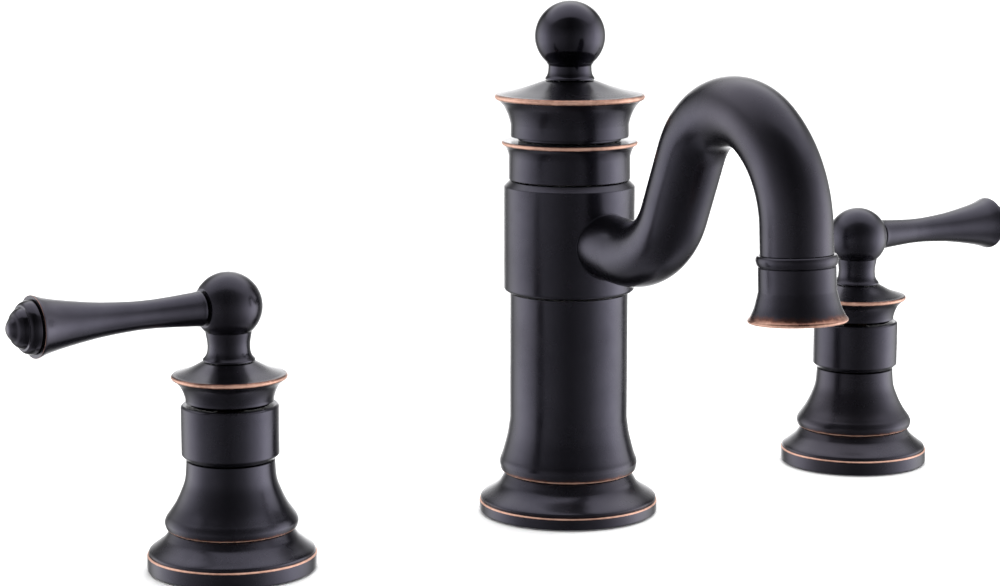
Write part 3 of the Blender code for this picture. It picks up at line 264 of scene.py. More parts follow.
def between(shares, start, end, wear=0.0):
    """Outline points at (radius, height) shares of the way from start to end."""
    return [
        (start[0] + (end[0] - start[0]) * across, start[1] + (end[1] - start[1]) * along, wear)
        for across, along in shares
    ]


def arc(centre, radius, start, end, points, wear=0.0):
    """Outline points of a round stretch, by angles in degrees, 0 outwards and 90 up."""
    turns = [radians(start + (end - start) * point / (points - 1)) for point in range(points)]
    return [(centre[0] + radius * cos(turn), centre[1] + radius * sin(turn), wear) for turn in turns]


def plain(points):
    """Outline points with no wear."""
    return [(radius, height, 0.0) for radius, height in points]


def ring_angles(steps):
    """Angles of a ring's corners."""
    return [2.0 * pi * step / steps for step in range(steps)]


def softened(outline, closed, size):
    """Rounds each corner, with guard points beside it that keep the long faces flat in shading."""
    count, last = len(outline), CORNER_POINTS - 1
    rounded = []
    for number, (radius, height, wear) in enumerate(outline):
        here = Vector((radius, height))
        before, after = outline[number - 1], outline[(number + 1) % count]
        arriving, leaving = here - Vector(before[:2]), Vector(after[:2]) - here
        shorter = min(arriving.length, leaving.length)
        inner = closed or 0 < number < count - 1
        if not inner or shorter < TINY_LENGTH or degrees(arriving.angle(leaving)) < CORNER_ANGLE:
            rounded.append((radius, height, wear))
            continue
        wanted = COPPER_EDGE if wear > WORN else size
        reach = min(wanted, CORNER_SHARE * shorter / GUARD_SHARE)
        arriving.normalize()
        leaving.normalize()
        start, end = here - arriving * reach, here + leaving * reach
        guard_wear = (min(wear, before[2]), min(wear, after[2]))
        rounded.append((*(here - arriving * reach * GUARD_SHARE), guard_wear[0]))
        for step in range(CORNER_POINTS):
            t = step / last
            point = start * (1 - t) ** 2 + here * 2 * t * (1 - t) + end * t**2
            end_wear = max(CORNER_END_WEAR * wear, guard_wear[step // last])
            rounded.append((*point, end_wear if step in (0, last) else wear))
        rounded.append((*(here + leaving * reach * GUARD_SHARE), guard_wear[1]))
    return rounded


def turn_into(mesh_data, wear_layer, outline, place, closed=True, size=SOFT_EDGE, steps=ROUND_STEPS):
    """Adds an outline turned about the place's Z axis to a bmesh."""
    rings = []
    for radius, height, wear in softened(outline, closed, size):
        ring = []
        for turn in ring_angles(steps if radius > AXIS_RADIUS else 1):
            corner = mesh_data.verts.new(place @ Vector((radius * cos(turn), radius * sin(turn), height)))
            corner[wear_layer] = wear
            ring.append(corner)
        rings.append(ring)
    for ring, following in zip(rings, rings[1:] + (rings[:1] if closed else [])):
        for step in range(steps):
            beyond = (step + 1) % steps
            corners = [ring[step % len(ring)], ring[beyond % len(ring)]]
            corners += [following[beyond % len(following)], following[step % len(following)]]
            unique = list(dict.fromkeys(corners))
            if len(unique) > 2:
                mesh_data.faces.new(unique)


def join_rings(mesh_data, rings):
    """Faces between rings of as many corners, and from the last ring back to the first."""
    for ring, following in zip(rings, rings[1:] + rings[:1]):
        for step in range(len(ring)):
            beyond = (step + 1) % len(ring)
            mesh_data.faces.new((ring[step], ring[beyond], following[beyond], following[step]))


def piece(name, body, material, nodes, build):
    """Makes one modelled piece from a function that fills a bmesh, and puts it on its body."""
    mesh_data = bmesh.new()
    wear_layer = mesh_data.verts.layers.float.new("wear")
    build(mesh_data, wear_layer)
    bmesh.ops.recalc_face_normals(mesh_data, faces=mesh_data.faces)
    mesh = bpy.data.meshes.new(name)
    mesh_data.to_mesh(mesh)
    mesh_data.free()
    mesh.materials.append(material)
    mesh.shade_smooth()
    obj = bpy.data.objects.new(name, mesh)
    bpy.context.scene.collection.objects.link(obj)
    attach(obj, body)
    if nodes:
        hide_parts(*nodes)
    return obj


def upright(x, height=0.0):
    """Matrix of an upright axis at x."""
    return Matrix.Translation((x, 0.0, height))


def turned(name, body, material, outline, place, closed=True, size=SOFT_EDGE, steps=ROUND_STEPS):
    """A piece turned about the place's Z axis, instead of the node it is named after."""

    def build(mesh_data, wear_layer):
        turn_into(mesh_data, wear_layer, outline, place, closed, size, steps)

    return piece(f"fine_{name}", body, material, [name], build)


# Materials


class Graph:
    """Nodes under construction for a material or a world, with its shader at their end."""

    def __init__(self, owner, shader="Principled BSDF", coords="Object"):
        owner.use_nodes = True
        self.owner = owner
        self.tree = owner.node_tree
        self.shader = self.tree.nodes[shader]
        self.coords = self.add("ShaderNodeTexCoord").outputs[coords]

    def add(self, kind, inputs=None, **settings):
        node = self.tree.nodes.new(kind)
        for name, value in settings.items():
            setattr(node, name, value)
        for name, value in (inputs or {}).items():
            if isinstance(value, bpy.types.NodeSocket):
                self.tree.links.new(value, node.inputs[name])
            else:
                node.inputs[name].default_value = value
        return node

    def noise(self, scale, detail=3.0, roughness=0.55):
        settings = {"Vector": self.coords, "Scale": scale, "Detail": detail, "Roughness": roughness}
        return self.add("ShaderNodeTexNoise", settings).outputs["Fac"]

    def ramp(self, value, low, high, to_low=0.0, to_high=1.0):
        settings = {"Value": value, "From Min": low, "From Max": high, "To Min": to_low, "To Max": to_high}
        return self.add("ShaderNodeMapRange", settings).outputs["Result"]

    def math(self, operation, first, second):
        return self.add("ShaderNodeMath", {0: first, 1: second}, operation=operation).outputs[0]

    def along(self, direction):
        """How far the coordinates reach in a direction."""
        sockets = {0: self.coords, 1: direction}
        return self.add("ShaderNodeVectorMath", sockets, operation="DOT_PRODUCT").outputs["Value"]

    def mix(self, factor, first, second):
        """Mixes two values, by a factor."""
        return self.add("ShaderNodeMix", {0: factor, 2: first, 3: second}, data_type="FLOAT").outputs[0]

    def blend(self, factor, first, second):
        """Mixes two colours, by a factor."""
        sockets = {0: factor, 6: first, 7: second}
        return self.add("ShaderNodeMix", sockets, data_type="RGBA").outputs[2]

    def bump(self, height, strength, distance, normal=None):
        sockets = {"Height": height, "Strength": strength, "Distance": distance}
        if normal is not None:
            sockets["Normal"] = normal
        return self.add("ShaderNodeBump", sockets).outputs["Normal"]

    def drive(self, **sockets):
        """Links sockets to the shader, or sets constants on it."""
        for name, value in sockets.items():
            target = self.shader.inputs[name.replace("_", " ")]
            if isinstance(value, bpy.types.NodeSocket):
                self.tree.links.new(value, target)
            else:
                target.default_value = value
        return self.owner


def rgb(red, green, blue):
    return (red, green, blue, 1.0)


# Noises are (scale, detail, roughness), the last two where they differ from Graph.noise's own.
NOISE_MEAN = 0.5
NOISE_MIDDLE = (0.3, 0.7)
BUMP_DEPTH = 0.0001
SATIN = {"roughest": 0.30, "metal": (0.92, 0.96)}
POLISHED = {"roughest": 0.16, "metal": (0.975, 0.995)}
SMOOTHEST_SHARE = 0.7
SKIN_COLOURS = (rgb(0.0355, 0.034, 0.0455), rgb(0.050, 0.048, 0.062))
SKIN = {"noise": (45.0, 4.0, 0.6), "span": (0.35, 0.68), "colours": SKIN_COLOURS}
WARMTH = {"noise": (14.0, 2.0), "span": (0.50, 0.75, 0.0, 0.4), "colour": rgb(0.051, 0.046, 0.054)}
RUBBED_COLOUR = rgb(0.130, 0.052, 0.036)
COPPER = {"noise": (260.0, 3.0), "colours": (rgb(0.58, 0.30, 0.215), rgb(0.78, 0.50, 0.395)), "metal": 0.45}
COPPER_SHEEN = {"noise": (340.0,), "roughness": (0.38, 0.50)}
RAGGED_EDGE = {"noise": (520.0, 3.0, 0.65), "share": 0.45}
WEAR_PATCHES = {"noise": (75.0, 2.0), "strength": (0.80, 1.12)}
RUBBED_SPAN = (0.20, 0.50)
BARE_SPAN = (0.42, 0.98)
SMUDGES = (70.0, 4.0, 0.65)
GRAIN = {"noise": (2600.0, 2.0), "strength": 0.05, "distance": 0.00012}
ORANGE_PEEL = {"noise": (330.0, 2.0), "strength": 0.04, "distance": 0.00025}
SCUFFS = {"noise": (900.0, 3.0), "strength": 0.25, "distance": 0.00012}


def make_bronze(name, finish):
    """Oil-rubbed bronze: a near-black skin, rubbed through to copper where the wear attribute is high."""
    graph = Graph(bpy.data.materials.new(name))
    blotches = graph.noise(*SKIN["noise"])
    skin = graph.blend(graph.ramp(blotches, *SKIN["span"]), *SKIN["colours"])
    skin = graph.blend(graph.ramp(graph.noise(*WARMTH["noise"]), *WARMTH["span"]), skin, WARMTH["colour"])

    wear = graph.add("ShaderNodeAttribute", attribute_name="wear", attribute_type="GEOMETRY").outputs["Fac"]
    ragged = graph.math("SUBTRACT", graph.noise(*RAGGED_EDGE["noise"]), NOISE_MEAN)
    patches = graph.ramp(graph.noise(*WEAR_PATCHES["noise"]), *NOISE_MIDDLE, *WEAR_PATCHES["strength"])
    edge = graph.math("MULTIPLY", wear, patches)
    edge = graph.math("ADD", edge, graph.math("MULTIPLY", ragged, RAGGED_EDGE["share"]))
    rubbed, bare = graph.ramp(edge, *RUBBED_SPAN), graph.ramp(edge, *BARE_SPAN)
    copper = graph.blend(graph.noise(*COPPER["noise"]), *COPPER["colours"])
    colour = graph.blend(bare, graph.blend(rubbed, skin, RUBBED_COLOUR), copper)

    roughest = finish["roughest"]
    smudges = graph.ramp(graph.noise(*SMUDGES), *NOISE_MIDDLE, SMOOTHEST_SHARE * roughest, roughest)
    sheen = graph.ramp(graph.noise(*COPPER_SHEEN["noise"]), *NOISE_MIDDLE, *COPPER_SHEEN["roughness"])
    roughness = graph.mix(bare, smudges, sheen)
    metallic = graph.mix(bare, graph.ramp(blotches, *NOISE_MIDDLE, *finish["metal"]), COPPER["metal"])

    bumps = None
    for relief in (GRAIN, ORANGE_PEEL, SCUFFS):
        height = graph.noise(*relief["noise"])
        if relief is SCUFFS:
            height = graph.math("MULTIPLY", wear, height)
        bumps = graph.bump(height, relief["strength"], relief["distance"], bumps)
    graph.drive(Specular_IOR_Level=0.5, Coat_Weight=0.0)
    return graph.drive(Base_Color=colour, Roughness=roughness, Metallic=metallic, Normal=bumps)


BRASS = {
    "noise": (120.0, 4.0, 0.6),
    "span": (0.35, 0.7),
    "colours": (rgb(0.62, 0.43, 0.17), rgb(0.44, 0.28, 0.10)),
    # Dark colours of the brass above the deck: painted shade, for where it shows through the gaps and hollows of the
    # shells
    "painted_shade": (rgb(0.03, 0.021, 0.014), rgb(0.05, 0.032, 0.018)),
    "painted_shade_heights": (-0.024, -0.020),
    "lathe_lines": 5200.0,
    "line_strength": 0.12,
    "bump": (1800.0, 0.08),
    "roughness": (0.26, 0.44),
}
PLAIN_FINISHES = {
    "steel_finish": {
        "noise": (150.0, 4.0, 0.6),
        "span": (0.0, 1.0),
        "colours": (rgb(0.50, 0.50, 0.51), rgb(0.66, 0.66, 0.67)),
        "bump": (2200.0, 0.10),
        "roughness": (0.22, 0.36),
        "metal": 1.0,
    },
    "rubber_finish": {
        "noise": (200.0, 4.0, 0.6),
        "span": (0.4, 0.75),
        "colours": (rgb(0.014, 0.014, 0.014), rgb(0.034, 0.033, 0.032)),
        "bump": (1500.0, 0.25),
        "roughness": (0.65, 0.85),
    },
    "nylon_finish": {
        "noise": (90.0,),
        "span": (0.0, 1.0),
        "colours": (rgb(0.70, 0.69, 0.64), rgb(0.80, 0.79, 0.76)),
        "bump": (1300.0, 0.10),
        "roughness": (0.38, 0.52),
    },
    "ceramic_finish": {
        "noise": (110.0,),
        "span": (0.0, 1.0),
        "colours": (rgb(0.80, 0.78, 0.72), rgb(0.90, 0.88, 0.84)),
        "bump": (1700.0, 0.04),
        "roughness": (0.10, 0.20),
    },
}
FLOOR_COLOURS = (rgb(0.86, 0.86, 0.865), rgb(0.90, 0.90, 0.90))
FLOOR_PAINT = {"noise": (6.0,), "colours": FLOOR_COLOURS, "roughness": 0.9, "shine": 0.1}


def make_brass():
    """Raw turned brass, with lathe lines round each upright axis and dull spots, darkened from the deck up as painted
    shade.
    """
    graph = Graph(bpy.data.materials.new("brass_finish"))
    spots = graph.noise(*BRASS["noise"])
    raw = graph.blend(graph.ramp(spots, *BRASS["span"]), *BRASS["colours"])
    height = graph.add("ShaderNodeSeparateXYZ", {"Vector": graph.coords}).outputs["Z"]
    # Painted shade: from the deck up the brass turns dark, as shade inside the gaps it shows through
    shaded_brass = graph.blend(spots, *BRASS["painted_shade"])
    colour = graph.blend(graph.ramp(height, *BRASS["painted_shade_heights"]), raw, shaded_brass)
    lines = graph.math("SINE", graph.math("MULTIPLY", height, BRASS["lathe_lines"]), 0.0)
    scale, strength = BRASS["bump"]
    bumps = graph.bump(graph.noise(scale), strength, BUMP_DEPTH)
    bumps = graph.bump(lines, BRASS["line_strength"], BUMP_DEPTH, bumps)
    roughness = graph.ramp(spots, *NOISE_MIDDLE, *BRASS["roughness"])
    return graph.drive(Base_Color=colour, Roughness=roughness, Metallic=1.0, Normal=bumps)


def make_plain(name, finish):
    """A clouded finish with a fine relief, for the small inner pieces."""
    graph = Graph(bpy.data.materials.new(name))
    cloud = graph.noise(*finish["noise"])
    colour = graph.blend(graph.ramp(cloud, *finish["span"]), *finish["colours"])
    scale, strength = finish["bump"]
    bumps = graph.bump(graph.noise(scale), strength, BUMP_DEPTH)
    roughness = graph.ramp(cloud, *NOISE_MIDDLE, *finish["roughness"])
    return graph.drive(Base_Color=colour, Roughness=roughness, Metallic=finish.get("metal", 0.0), Normal=bumps)


def make_floor_paint():
    graph = Graph(bpy.data.materials.new("floor_paint"))
    paint = FLOOR_PAINT
    colour = graph.blend(graph.noise(*paint["noise"]), *paint["colours"])
    return graph.drive(Base_Color=colour, Roughness=paint["roughness"], Specular_IOR_Level=paint["shine"])


bronze = make_bronze("bronze_finish", SATIN)
polished = make_bronze("bronze_polished", POLISHED)
brass = make_brass()
steel, rubber, nylon, ceramic = [make_plain(name, finish) for name, finish in PLAIN_FINISHES.items()]
NODES_OF_FINISH = (
    (rubber, ("deck_gasket", "o_ring")),
    (nylon, ("thrust_washer", "flow_regulator")),
    (ceramic, ("fixed_disc", "moving_disc")),
    (steel, ("deck_washer", "set_screw", "aerator_screen")),
    (brass, ("valve_body", "cartridge", "stem", "lock_nut", "spout_post", "aerator_housing")),
)


def finish_nodes():
    """Gives every CAD node its procedural finish, so that those that show or are kept have one too."""
    for name, node in frame["nodes"].items():
        finish = next((material for material, starts in NODES_OF_FINISH if name.startswith(starts)), bronze)
        node.data.materials.clear()
        node.data.materials.append(finish)


# Pieces of the handles and of the spout's foot


def flange(name, sizes, shares, x):
    """Base flange: rounded foot, upright rim with a rubbed top edge, and an ogee up to its seat."""
    radius, bottom, top = box_span(name)
    gasket_radius = box_span(name.replace("base_flange", "deck_gasket"))[0] + CLEARANCE
    recess_top = bottom + GASKET_RECESS_DEPTH
    rounding, edge, top_radius = sizes["rounding"], sizes["edge"], sizes["top_radius"]
    outline = [(gasket_radius, bottom, 0.0)]
    outline += arc((radius - rounding, bottom + rounding), rounding, -90.0, 0.0, FOOT_POINTS)
    outline += [(radius - inward, edge + upward, wear) for inward, upward, wear in FLANGE_RUB]
    shoulder = (radius - FLANGE_SHOULDER[0], edge + FLANGE_SHOULDER[1], 0.0)
    outline += flow([shoulder, *between(shares, shoulder, (top_radius, top))])
    outline += plain([(SHANK_BORE, top), (SHANK_BORE, recess_top), (gasket_radius, recess_top)])
    turned(name, "root", bronze, outline, upright(x))


def lipped(name, sizes, shares, inside, x):
    """A bell or column: its lip rolls under to a rubbed line, and its side sweeps up from there."""
    radius, bottom, top = box_span(name)
    lip = (radius, bottom + sizes["rise"], 0.0)
    foot = (radius - sizes["inset"], bottom, LIP_FOOT_WEAR)
    flare_top = lip[1] + sizes["flare"] if sizes["flare"] else top
    under = [(*point[:2], wear) for point, wear in zip(between(LIP_UNDER_SHARES, foot, lip), LIP_WEAR)]
    outline = [foot, *flow([*under, *between(shares, lip, (sizes["radius"], flare_top))])]
    outline += plain([(sizes["radius"], top)] if sizes["flare"] else [])
    outline += plain(inside(bottom, top))
    turned(name, "root", bronze, outline, upright(x))


def bell_inside(bottom, top):
    shoulder = bottom + VALVE_SHOULDER_HEIGHT
    upper = [(BONNET_BORE, top), (BONNET_BORE, (shoulder + top) / 2.0)]
    return upper + [(VALVE_SHOULDER_BORE, shoulder), (VALVE_SHOULDER_BORE, bottom)]


def column_inside(bottom, top):
    return [(POST_BORE, top), (POST_BORE, bottom)]


def collar(name, x):
    radius, bottom, top = box_span(name)
    outline = [
        (BONNET_BORE, bottom),
        (radius - COLLAR_CHAMFER, bottom),
        (radius, bottom + COLLAR_CHAMFER),
        (radius, top - COLLAR_TOP_CHAMFER),
        (radius - COLLAR_TOP_CHAMFER, top),
        (BONNET_BORE, top),
    ]
    turned(name, "root", bronze, plain(outline), upright(x))


def flared_line(bottom, sizes, rim_radius):
    """Outer line of a skirt that flares in a cavetto to a half-round rubbed rim."""
    radius, half = sizes["radius"], sizes["rim"] / 2.0
    skirt_top = bottom + sizes["skirt"]
    flare_top = skirt_top + sizes["flare"]
    start = (radius, skirt_top, 0.0)
    end = (rim_radius - half, flare_top)
    line = [(radius, bottom, 0.0)]
    line += flow([start, *between(FLARE_SHARES, start, end)])
    centre = (rim_radius - half, flare_top + half)
    for across, up, wear in arc(centre, half, *RIM_ARC):
        bright = max(0.0, (across - centre[0]) / half) ** sizes["rub"]
        line.append((across, up, RIM_WEAR + (1.0 - RIM_WEAR) * bright))
    return line


def cone_top(rim_end, foot_radius, top):
    """Shallow cone from the rim up to the foot of the neck, very slightly hollow."""
    start = (rim_end[0] - COPPER_EDGE, rim_end[1] + COPPER_EDGE * CONE_START_RISE, 0.0)
    end = (foot_radius, top, 0.0)
    middle = ((start[0] + end[0]) / 2.0, (start[1] + end[1]) / 2.0 - CONE_SAG, 0.0)
    return flow([start, middle, end], FINE_CUTS)


def hub(side, x):
    """Hub with its flared rim, and the hole of its set screw cut from the back."""
    rim_radius, bottom, top = box_span(f"hub_{side}")
    stem_top = box_span(f"stem_{side}")[2] + CLEARANCE
    stud_floor = box_span(f"handle_ball_{side}")[1] - CLEARANCE
    outline = plain([(0.0, stem_top), (STEM_BORE, stem_top), (STEM_BORE, bottom)])
    outline += flared_line(bottom, HUB, rim_radius)
    outline += cone_top(outline[-1], HUB_FOOT_RADIUS, top)
    outline += plain([(STUD_BORE, top), (STUD_BORE, stud_floor), (0.0, stud_floor)])
    made = turned(f"hub_{side}", f"{side}_handle", bronze, outline, upright(x), closed=False)
    cut_hole(made, SET_SCREW_RADIUS + CLEARANCE, rim_radius, 2.0 * (rim_radius - STEM_BORE), x, screw_height(side))


def cut_hole(made, radius, middle, depth, x, height):
    """Cuts a round hole along Y through a piece's back, and leaves no cutter behind."""
    hole = bpy.data.meshes.new("bore")
    cutter_data = bmesh.new()
    cutter_data.verts.layers.float.new("wear")
    bmesh.ops.create_cone(
        cutter_data,
        cap_ends=True,
        segments=SMALL_STEPS,
        radius1=radius,
        radius2=radius,
        depth=depth,
        matrix=Matrix.Translation((x, middle, height)) @ Matrix.Rotation(radians(90), 4, "X"),
    )
    cutter_data.to_mesh(hole)
    cutter_data.free()
    cutter = bpy.data.objects.new("bore", hole)
    bpy.context.scene.collection.objects.link(cutter)
    modifier = made.modifiers.new("screw_hole", "BOOLEAN")
    modifier.object = cutter
    modifier.operation = "DIFFERENCE"
    bpy.context.view_layer.update()
    graph = bpy.context.evaluated_depsgraph_get()
    cut = bpy.data.meshes.new_from_object(made.evaluated_get(graph))
    made.modifiers.clear()
    made.data = cut
    bpy.data.objects.remove(cutter)


def screw_height(side):
    low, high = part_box(f"set_screw_{side}")
    return (low.z + high.z) / 2.0


def set_screw(side, x):
    """Grub screw with a round key recess in its outer end."""
    low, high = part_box(f"set_screw_{side}")
    key_floor = high.y - 2.0 * SET_SCREW_KEY
    outline = [
        (0.0, low.y),
        (SET_SCREW_RADIUS, low.y),
        (SET_SCREW_RADIUS, high.y),
        (SET_SCREW_KEY, high.y),
        (SET_SCREW_KEY * SET_SCREW_TAPER, key_floor),
        (0.0, key_floor),
    ]
    place = upright(x, screw_height(side)) @ Matrix.Rotation(radians(-90), 4, "X")
    name, body = f"set_screw_{side}", f"{side}_handle"
    turned(name, body, steel, plain(outline), place, closed=False, size=FINE_EDGE, steps=SMALL_STEPS)


def neck_line(sizes, foot, ball_height):
    """Foot step, hollow waist, and a short straight that runs into the ball."""
    step = (sizes["foot"], foot + FOOT_STEP, 0.0)
    waist_bottom = foot + sizes["rise"]
    hollow = between(WAIST_SHARES, step, (sizes["waist"], waist_bottom))
    straight = (sizes["waist"], waist_bottom + sizes["length"], 0.0)
    joint, radius = sizes["joint"], sizes["radius"]
    inside = (joint * JOINT_OVERLAP, ball_height - sqrt(radius**2 - joint**2), 0.0)
    sunk = (joint * SUNK_SHARES[0], ball_height - radius * SUNK_SHARES[1], 0.0)
    return [(sizes["foot"], foot, 0.0), step, *flow([*hollow, straight, inside]), sunk, (0.0, sunk[1], 0.0)]


def stud_line(foot, bottom):
    return plain([(0.0, bottom), (STUD_RADIUS, bottom), (STUD_RADIUS, foot)])


def level_axis(outward, x, height):
    """Matrix of a level axis along X, with Z pointing outward."""
    return upright(x, height) @ Matrix.Rotation(outward * radians(90), 4, "Y")


def handle_ball(side, outward, x):
    """Ball turned about the lever's axis, with its flat boss, on a neck turned about the handle's axis."""
    bottom, top = box_span(f"handle_ball_{side}")[1:]
    radius = HANDLE_BALL["radius"]
    centre = top - radius
    foot = box_span(f"hub_{side}")[2] + CLEARANCE
    boss_angle = degrees(asin(BOSS_RADIUS / radius))
    stud_start = box_span_along(f"lever_{side}", outward, x)[0] - CLEARANCE
    sphere = [(0.0, -radius, 0.0)]
    sphere += arc((0.0, 0.0), radius, BALL_START, 90.0 - boss_angle, BALL_POINTS)[:-1]
    sphere += plain([(BOSS_RADIUS, BOSS_FACE), (STUD_BORE, BOSS_FACE), (STUD_BORE, stud_start), (0.0, stud_start)])

    def build(mesh_data, wear_layer):
        turn_into(mesh_data, wear_layer, sphere, level_axis(outward, x, centre), closed=False)
        neck = stud_line(foot, bottom) + neck_line(HANDLE_BALL, foot, centre)
        turn_into(mesh_data, wear_layer, neck, upright(x), closed=False)

    piece(f"fine_handle_ball_{side}", f"{side}_handle", bronze, [f"handle_ball_{side}"], build)


def box_span_along(node, outward, x):
    """(start, end) of a node along the lever's axis, from the ball's centre out."""
    low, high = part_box(node)
    return sorted(((low.x - x) * outward, (high.x - x) * outward))


def lever_line(stud_start, end, bore_end):
    """Stud, groove, root ring and trumpet of a lever, hollow at its end for the cap's stud."""
    root = BOSS_FACE + CLEARANCE + LEVER_GROOVE_WIDTH
    root_top = (LEVER_ROOT_RADIUS, root + LEVER_BEVEL, 0.0)
    waist = (LEVER_WAIST_RADIUS, root_top[1] + LEVER_TAPER_LENGTH, 0.0)
    flare_end = (LEVER_END_RADIUS, end - LEVER_BEVEL, 0.0)
    line = plain(
        [
            (0.0, stud_start),
            (STUD_RADIUS, stud_start),
            (STUD_RADIUS, BOSS_FACE + CLEARANCE),
            (LEVER_GROOVE_RADIUS, BOSS_FACE + CLEARANCE),
            (LEVER_GROOVE_RADIUS, root),
            (LEVER_ROOT_RADIUS, root),
        ]
    )
    line += flow([root_top, *between(TAPER_SHARES, root_top, waist), *between(TRUMPET_SHARES, waist, flare_end)])
    line.append((LEVER_END_RADIUS, end, LEVER_END_WEAR))
    return line + plain([(STUD_BORE, end), (STUD_BORE, bore_end), (0.0, bore_end)])


def cap_line(stud_start, base, tip):
    """Stud and three rounded steps of a lever's cap."""
    step = base + CAP_BASE_LENGTH
    nub = step + CAP_STEP_LENGTH
    line = plain([(0.0, stud_start), (STUD_RADIUS, stud_start), (STUD_RADIUS, base)])
    line.append((CAP_BASE_RADIUS, base, CAP_WEAR[0]))
    line += dome(CAP_BASE_RADIUS, base, CAP_BASE_LENGTH, CAP_BASE_SHARES, (CAP_STEP_RADIUS, step))
    line.append((CAP_STEP_RADIUS * CAP_STEP_INSETS[0], step, 0.0))
    line.append((CAP_STEP_RADIUS * CAP_STEP_INSETS[1], step + CAP_STEP_LENGTH * CAP_STEP_RISE, CAP_WEAR[1]))
    nub_foot = (CAP_NUB_RADIUS * CAP_NUB_FOOT[0], nub - CAP_STEP_LENGTH * CAP_NUB_FOOT[1])
    line += dome(CAP_STEP_RADIUS, step, CAP_STEP_LENGTH, CAP_STEP_SHARES, nub_foot)
    line.append((CAP_NUB_RADIUS, nub, CAP_WEAR[2]))
    return line + dome(CAP_NUB_RADIUS, nub, tip - nub, CAP_NUB_SHARES, (0.0, tip))


def dome(radius, start, length, shares, end):
    """Smooth outline through (radius, length) shares of a step, up to its end."""
    return flow(plain([*[(radius * across, start + length * along) for across, along in shares], end]))


def lever(side, outward, x):
    """Trumpet lever with its root ring, and the stepped cap that closes its end."""
    stud_start, end = box_span_along(f"lever_{side}", outward, x)
    cap_stud, tip = box_span_along(f"lever_cap_{side}", outward, x)
    axis = level_axis(outward, x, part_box(f"handle_ball_{side}")[1].z - HANDLE_BALL["radius"])
    line = lever_line(stud_start, end, cap_stud - CLEARANCE)
    turned(f"lever_{side}", f"{side}_handle", bronze, line, axis, closed=False)
    line = cap_line(cap_stud, end + CLEARANCE, tip)
    turned(f"lever_cap_{side}", f"{side}_handle", polished, line, axis, closed=False)


def washer_line(bore, radius, bottom, top):
    return plain([(bore, bottom), (radius, bottom), (radius, top), (bore, top)])


def clamp(side, x):
    """Gasket, washer and chamfered hexagon nut on the shank."""
    for kind, material in (("deck_gasket", rubber), ("deck_washer", steel)):
        line = washer_line(SHANK_BORE, *box_span(f"{kind}_{side}"))
        turned(f"{kind}_{side}", "root", material, line, upright(x))

    radius, bottom, top = box_span(f"lock_nut_{side}")
    flat = radius * cos(pi / 6.0)
    bevel = NUT_CHAMFER / 2.0
    round_end = [flat] * ROUND_STEPS
    hexagon = [flat / cos(turn % (pi / 3.0) - pi / 6.0) for turn in ring_angles(ROUND_STEPS)]
    bore, bore_mouth = [SHANK_BORE] * ROUND_STEPS, [SHANK_BORE + bevel] * ROUND_STEPS
    levels = (
        (round_end, bottom),
        (hexagon, bottom + NUT_CHAMFER),
        (hexagon, top - NUT_CHAMFER),
        (round_end, top),
        (bore_mouth, top),
        (bore, top - bevel),
        (bore, bottom + bevel),
        (bore_mouth, bottom),
    )

    def build(mesh_data, wear_layer):
        """Hexagon whose corners are cut back at both ends, with a chamfered bore."""
        rings = []
        for reaches, height in levels:
            ring = []
            for reach, turn in zip(reaches, ring_angles(ROUND_STEPS)):
                ring.append(mesh_data.verts.new((x + reach * cos(turn), reach * sin(turn), height)))
            rings.append(ring)
        join_rings(mesh_data, rings)

    nut = piece(f"fine_lock_nut_{side}", "root", brass, [f"lock_nut_{side}"], build)
    nut.data.set_sharp_from_angle(angle=radians(NUT_SHARP_ANGLE))


def make_handle(side, outward):
    low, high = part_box(f"collar_{side}")
    x = (low.x + high.x) / 2.0
    clamp(side, x)
    flange(f"base_flange_{side}", HANDLE_FLANGE, HANDLE_OGEE_SHARES, x)
    lipped(f"bell_{side}", BELL, BELL_SHARES, bell_inside, x)
    collar(f"collar_{side}", x)
    hub(side, x)
    set_screw(side, x)
    handle_ball(side, outward, x)
    lever(side, outward, x)


# Spout


def spout_collar():
    radius, bottom, top = box_span("spout_collar")
    rounding, chamfer, recess = SPOUT_COLLAR_ROUNDING, SPOUT_COLLAR_CHAMFER, WASHER_RECESS_RADIUS
    outline = plain([(POST_BORE, bottom + rounding), (recess, bottom + rounding), (recess, bottom)])
    outline += arc((radius - rounding, bottom + rounding), rounding, -90.0, 0.0, COLLAR_POINTS)
    outline += plain([(radius, top - chamfer), (radius - chamfer, top), (recess, top)])
    outline += plain([(recess, top - rounding), (POST_BORE, top - rounding)])
    turned("spout_collar", "spout", bronze, outline, upright(0.0))


def neck_runs():
    """(length, turn) of each stretch of the neck's axis; a turn to the left is positive."""
    lower_turn = radians(90 - NECK_RISE_LEAN + NECK_DIP)
    outer_turn = radians(OUTER_BEND_TURN)
    arch_turn = radians(180 - NECK_RISE_LEAN - NECK_DROP_LEAN) - outer_turn
    return (
        (NECK_ROOT_RUN, 0.0),
        (LOWER_BEND_RADIUS * lower_turn, lower_turn),
        (NECK_RISE_RUN, 0.0),
        (ARCH_RADIUS * arch_turn, -arch_turn),
        (OUTER_BEND_RADIUS * outer_turn, -outer_turn),
        (NECK_DROP_RUN, 0.0),
    )


NECK_LENGTH = sum(length for length, turn in neck_runs())
NECK_AXIS_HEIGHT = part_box("spout_collar")[0].z + NECK_AXIS_RISE


def neck_axis(distance):
    """Point (forward, height) and heading of the neck's axis at a distance along it."""
    forward, height, heading = 0.0, NECK_AXIS_HEIGHT, -radians(NECK_DIP)
    for length, turn in neck_runs():
        part = min(distance, length)
        ahead = heading + turn * part / length
        if turn:
            radius = length / turn
            forward += radius * (sin(ahead) - sin(heading))
            height -= radius * (cos(ahead) - cos(heading))
        else:
            forward += part * cos(heading)
            height += part * sin(heading)
        heading = ahead
        distance -= part
    return forward, height, heading


def around(side, up, turn):
    """Direction at an angle round an axis, from the two directions across it."""
    return cos(turn) * side + sin(turn) * up


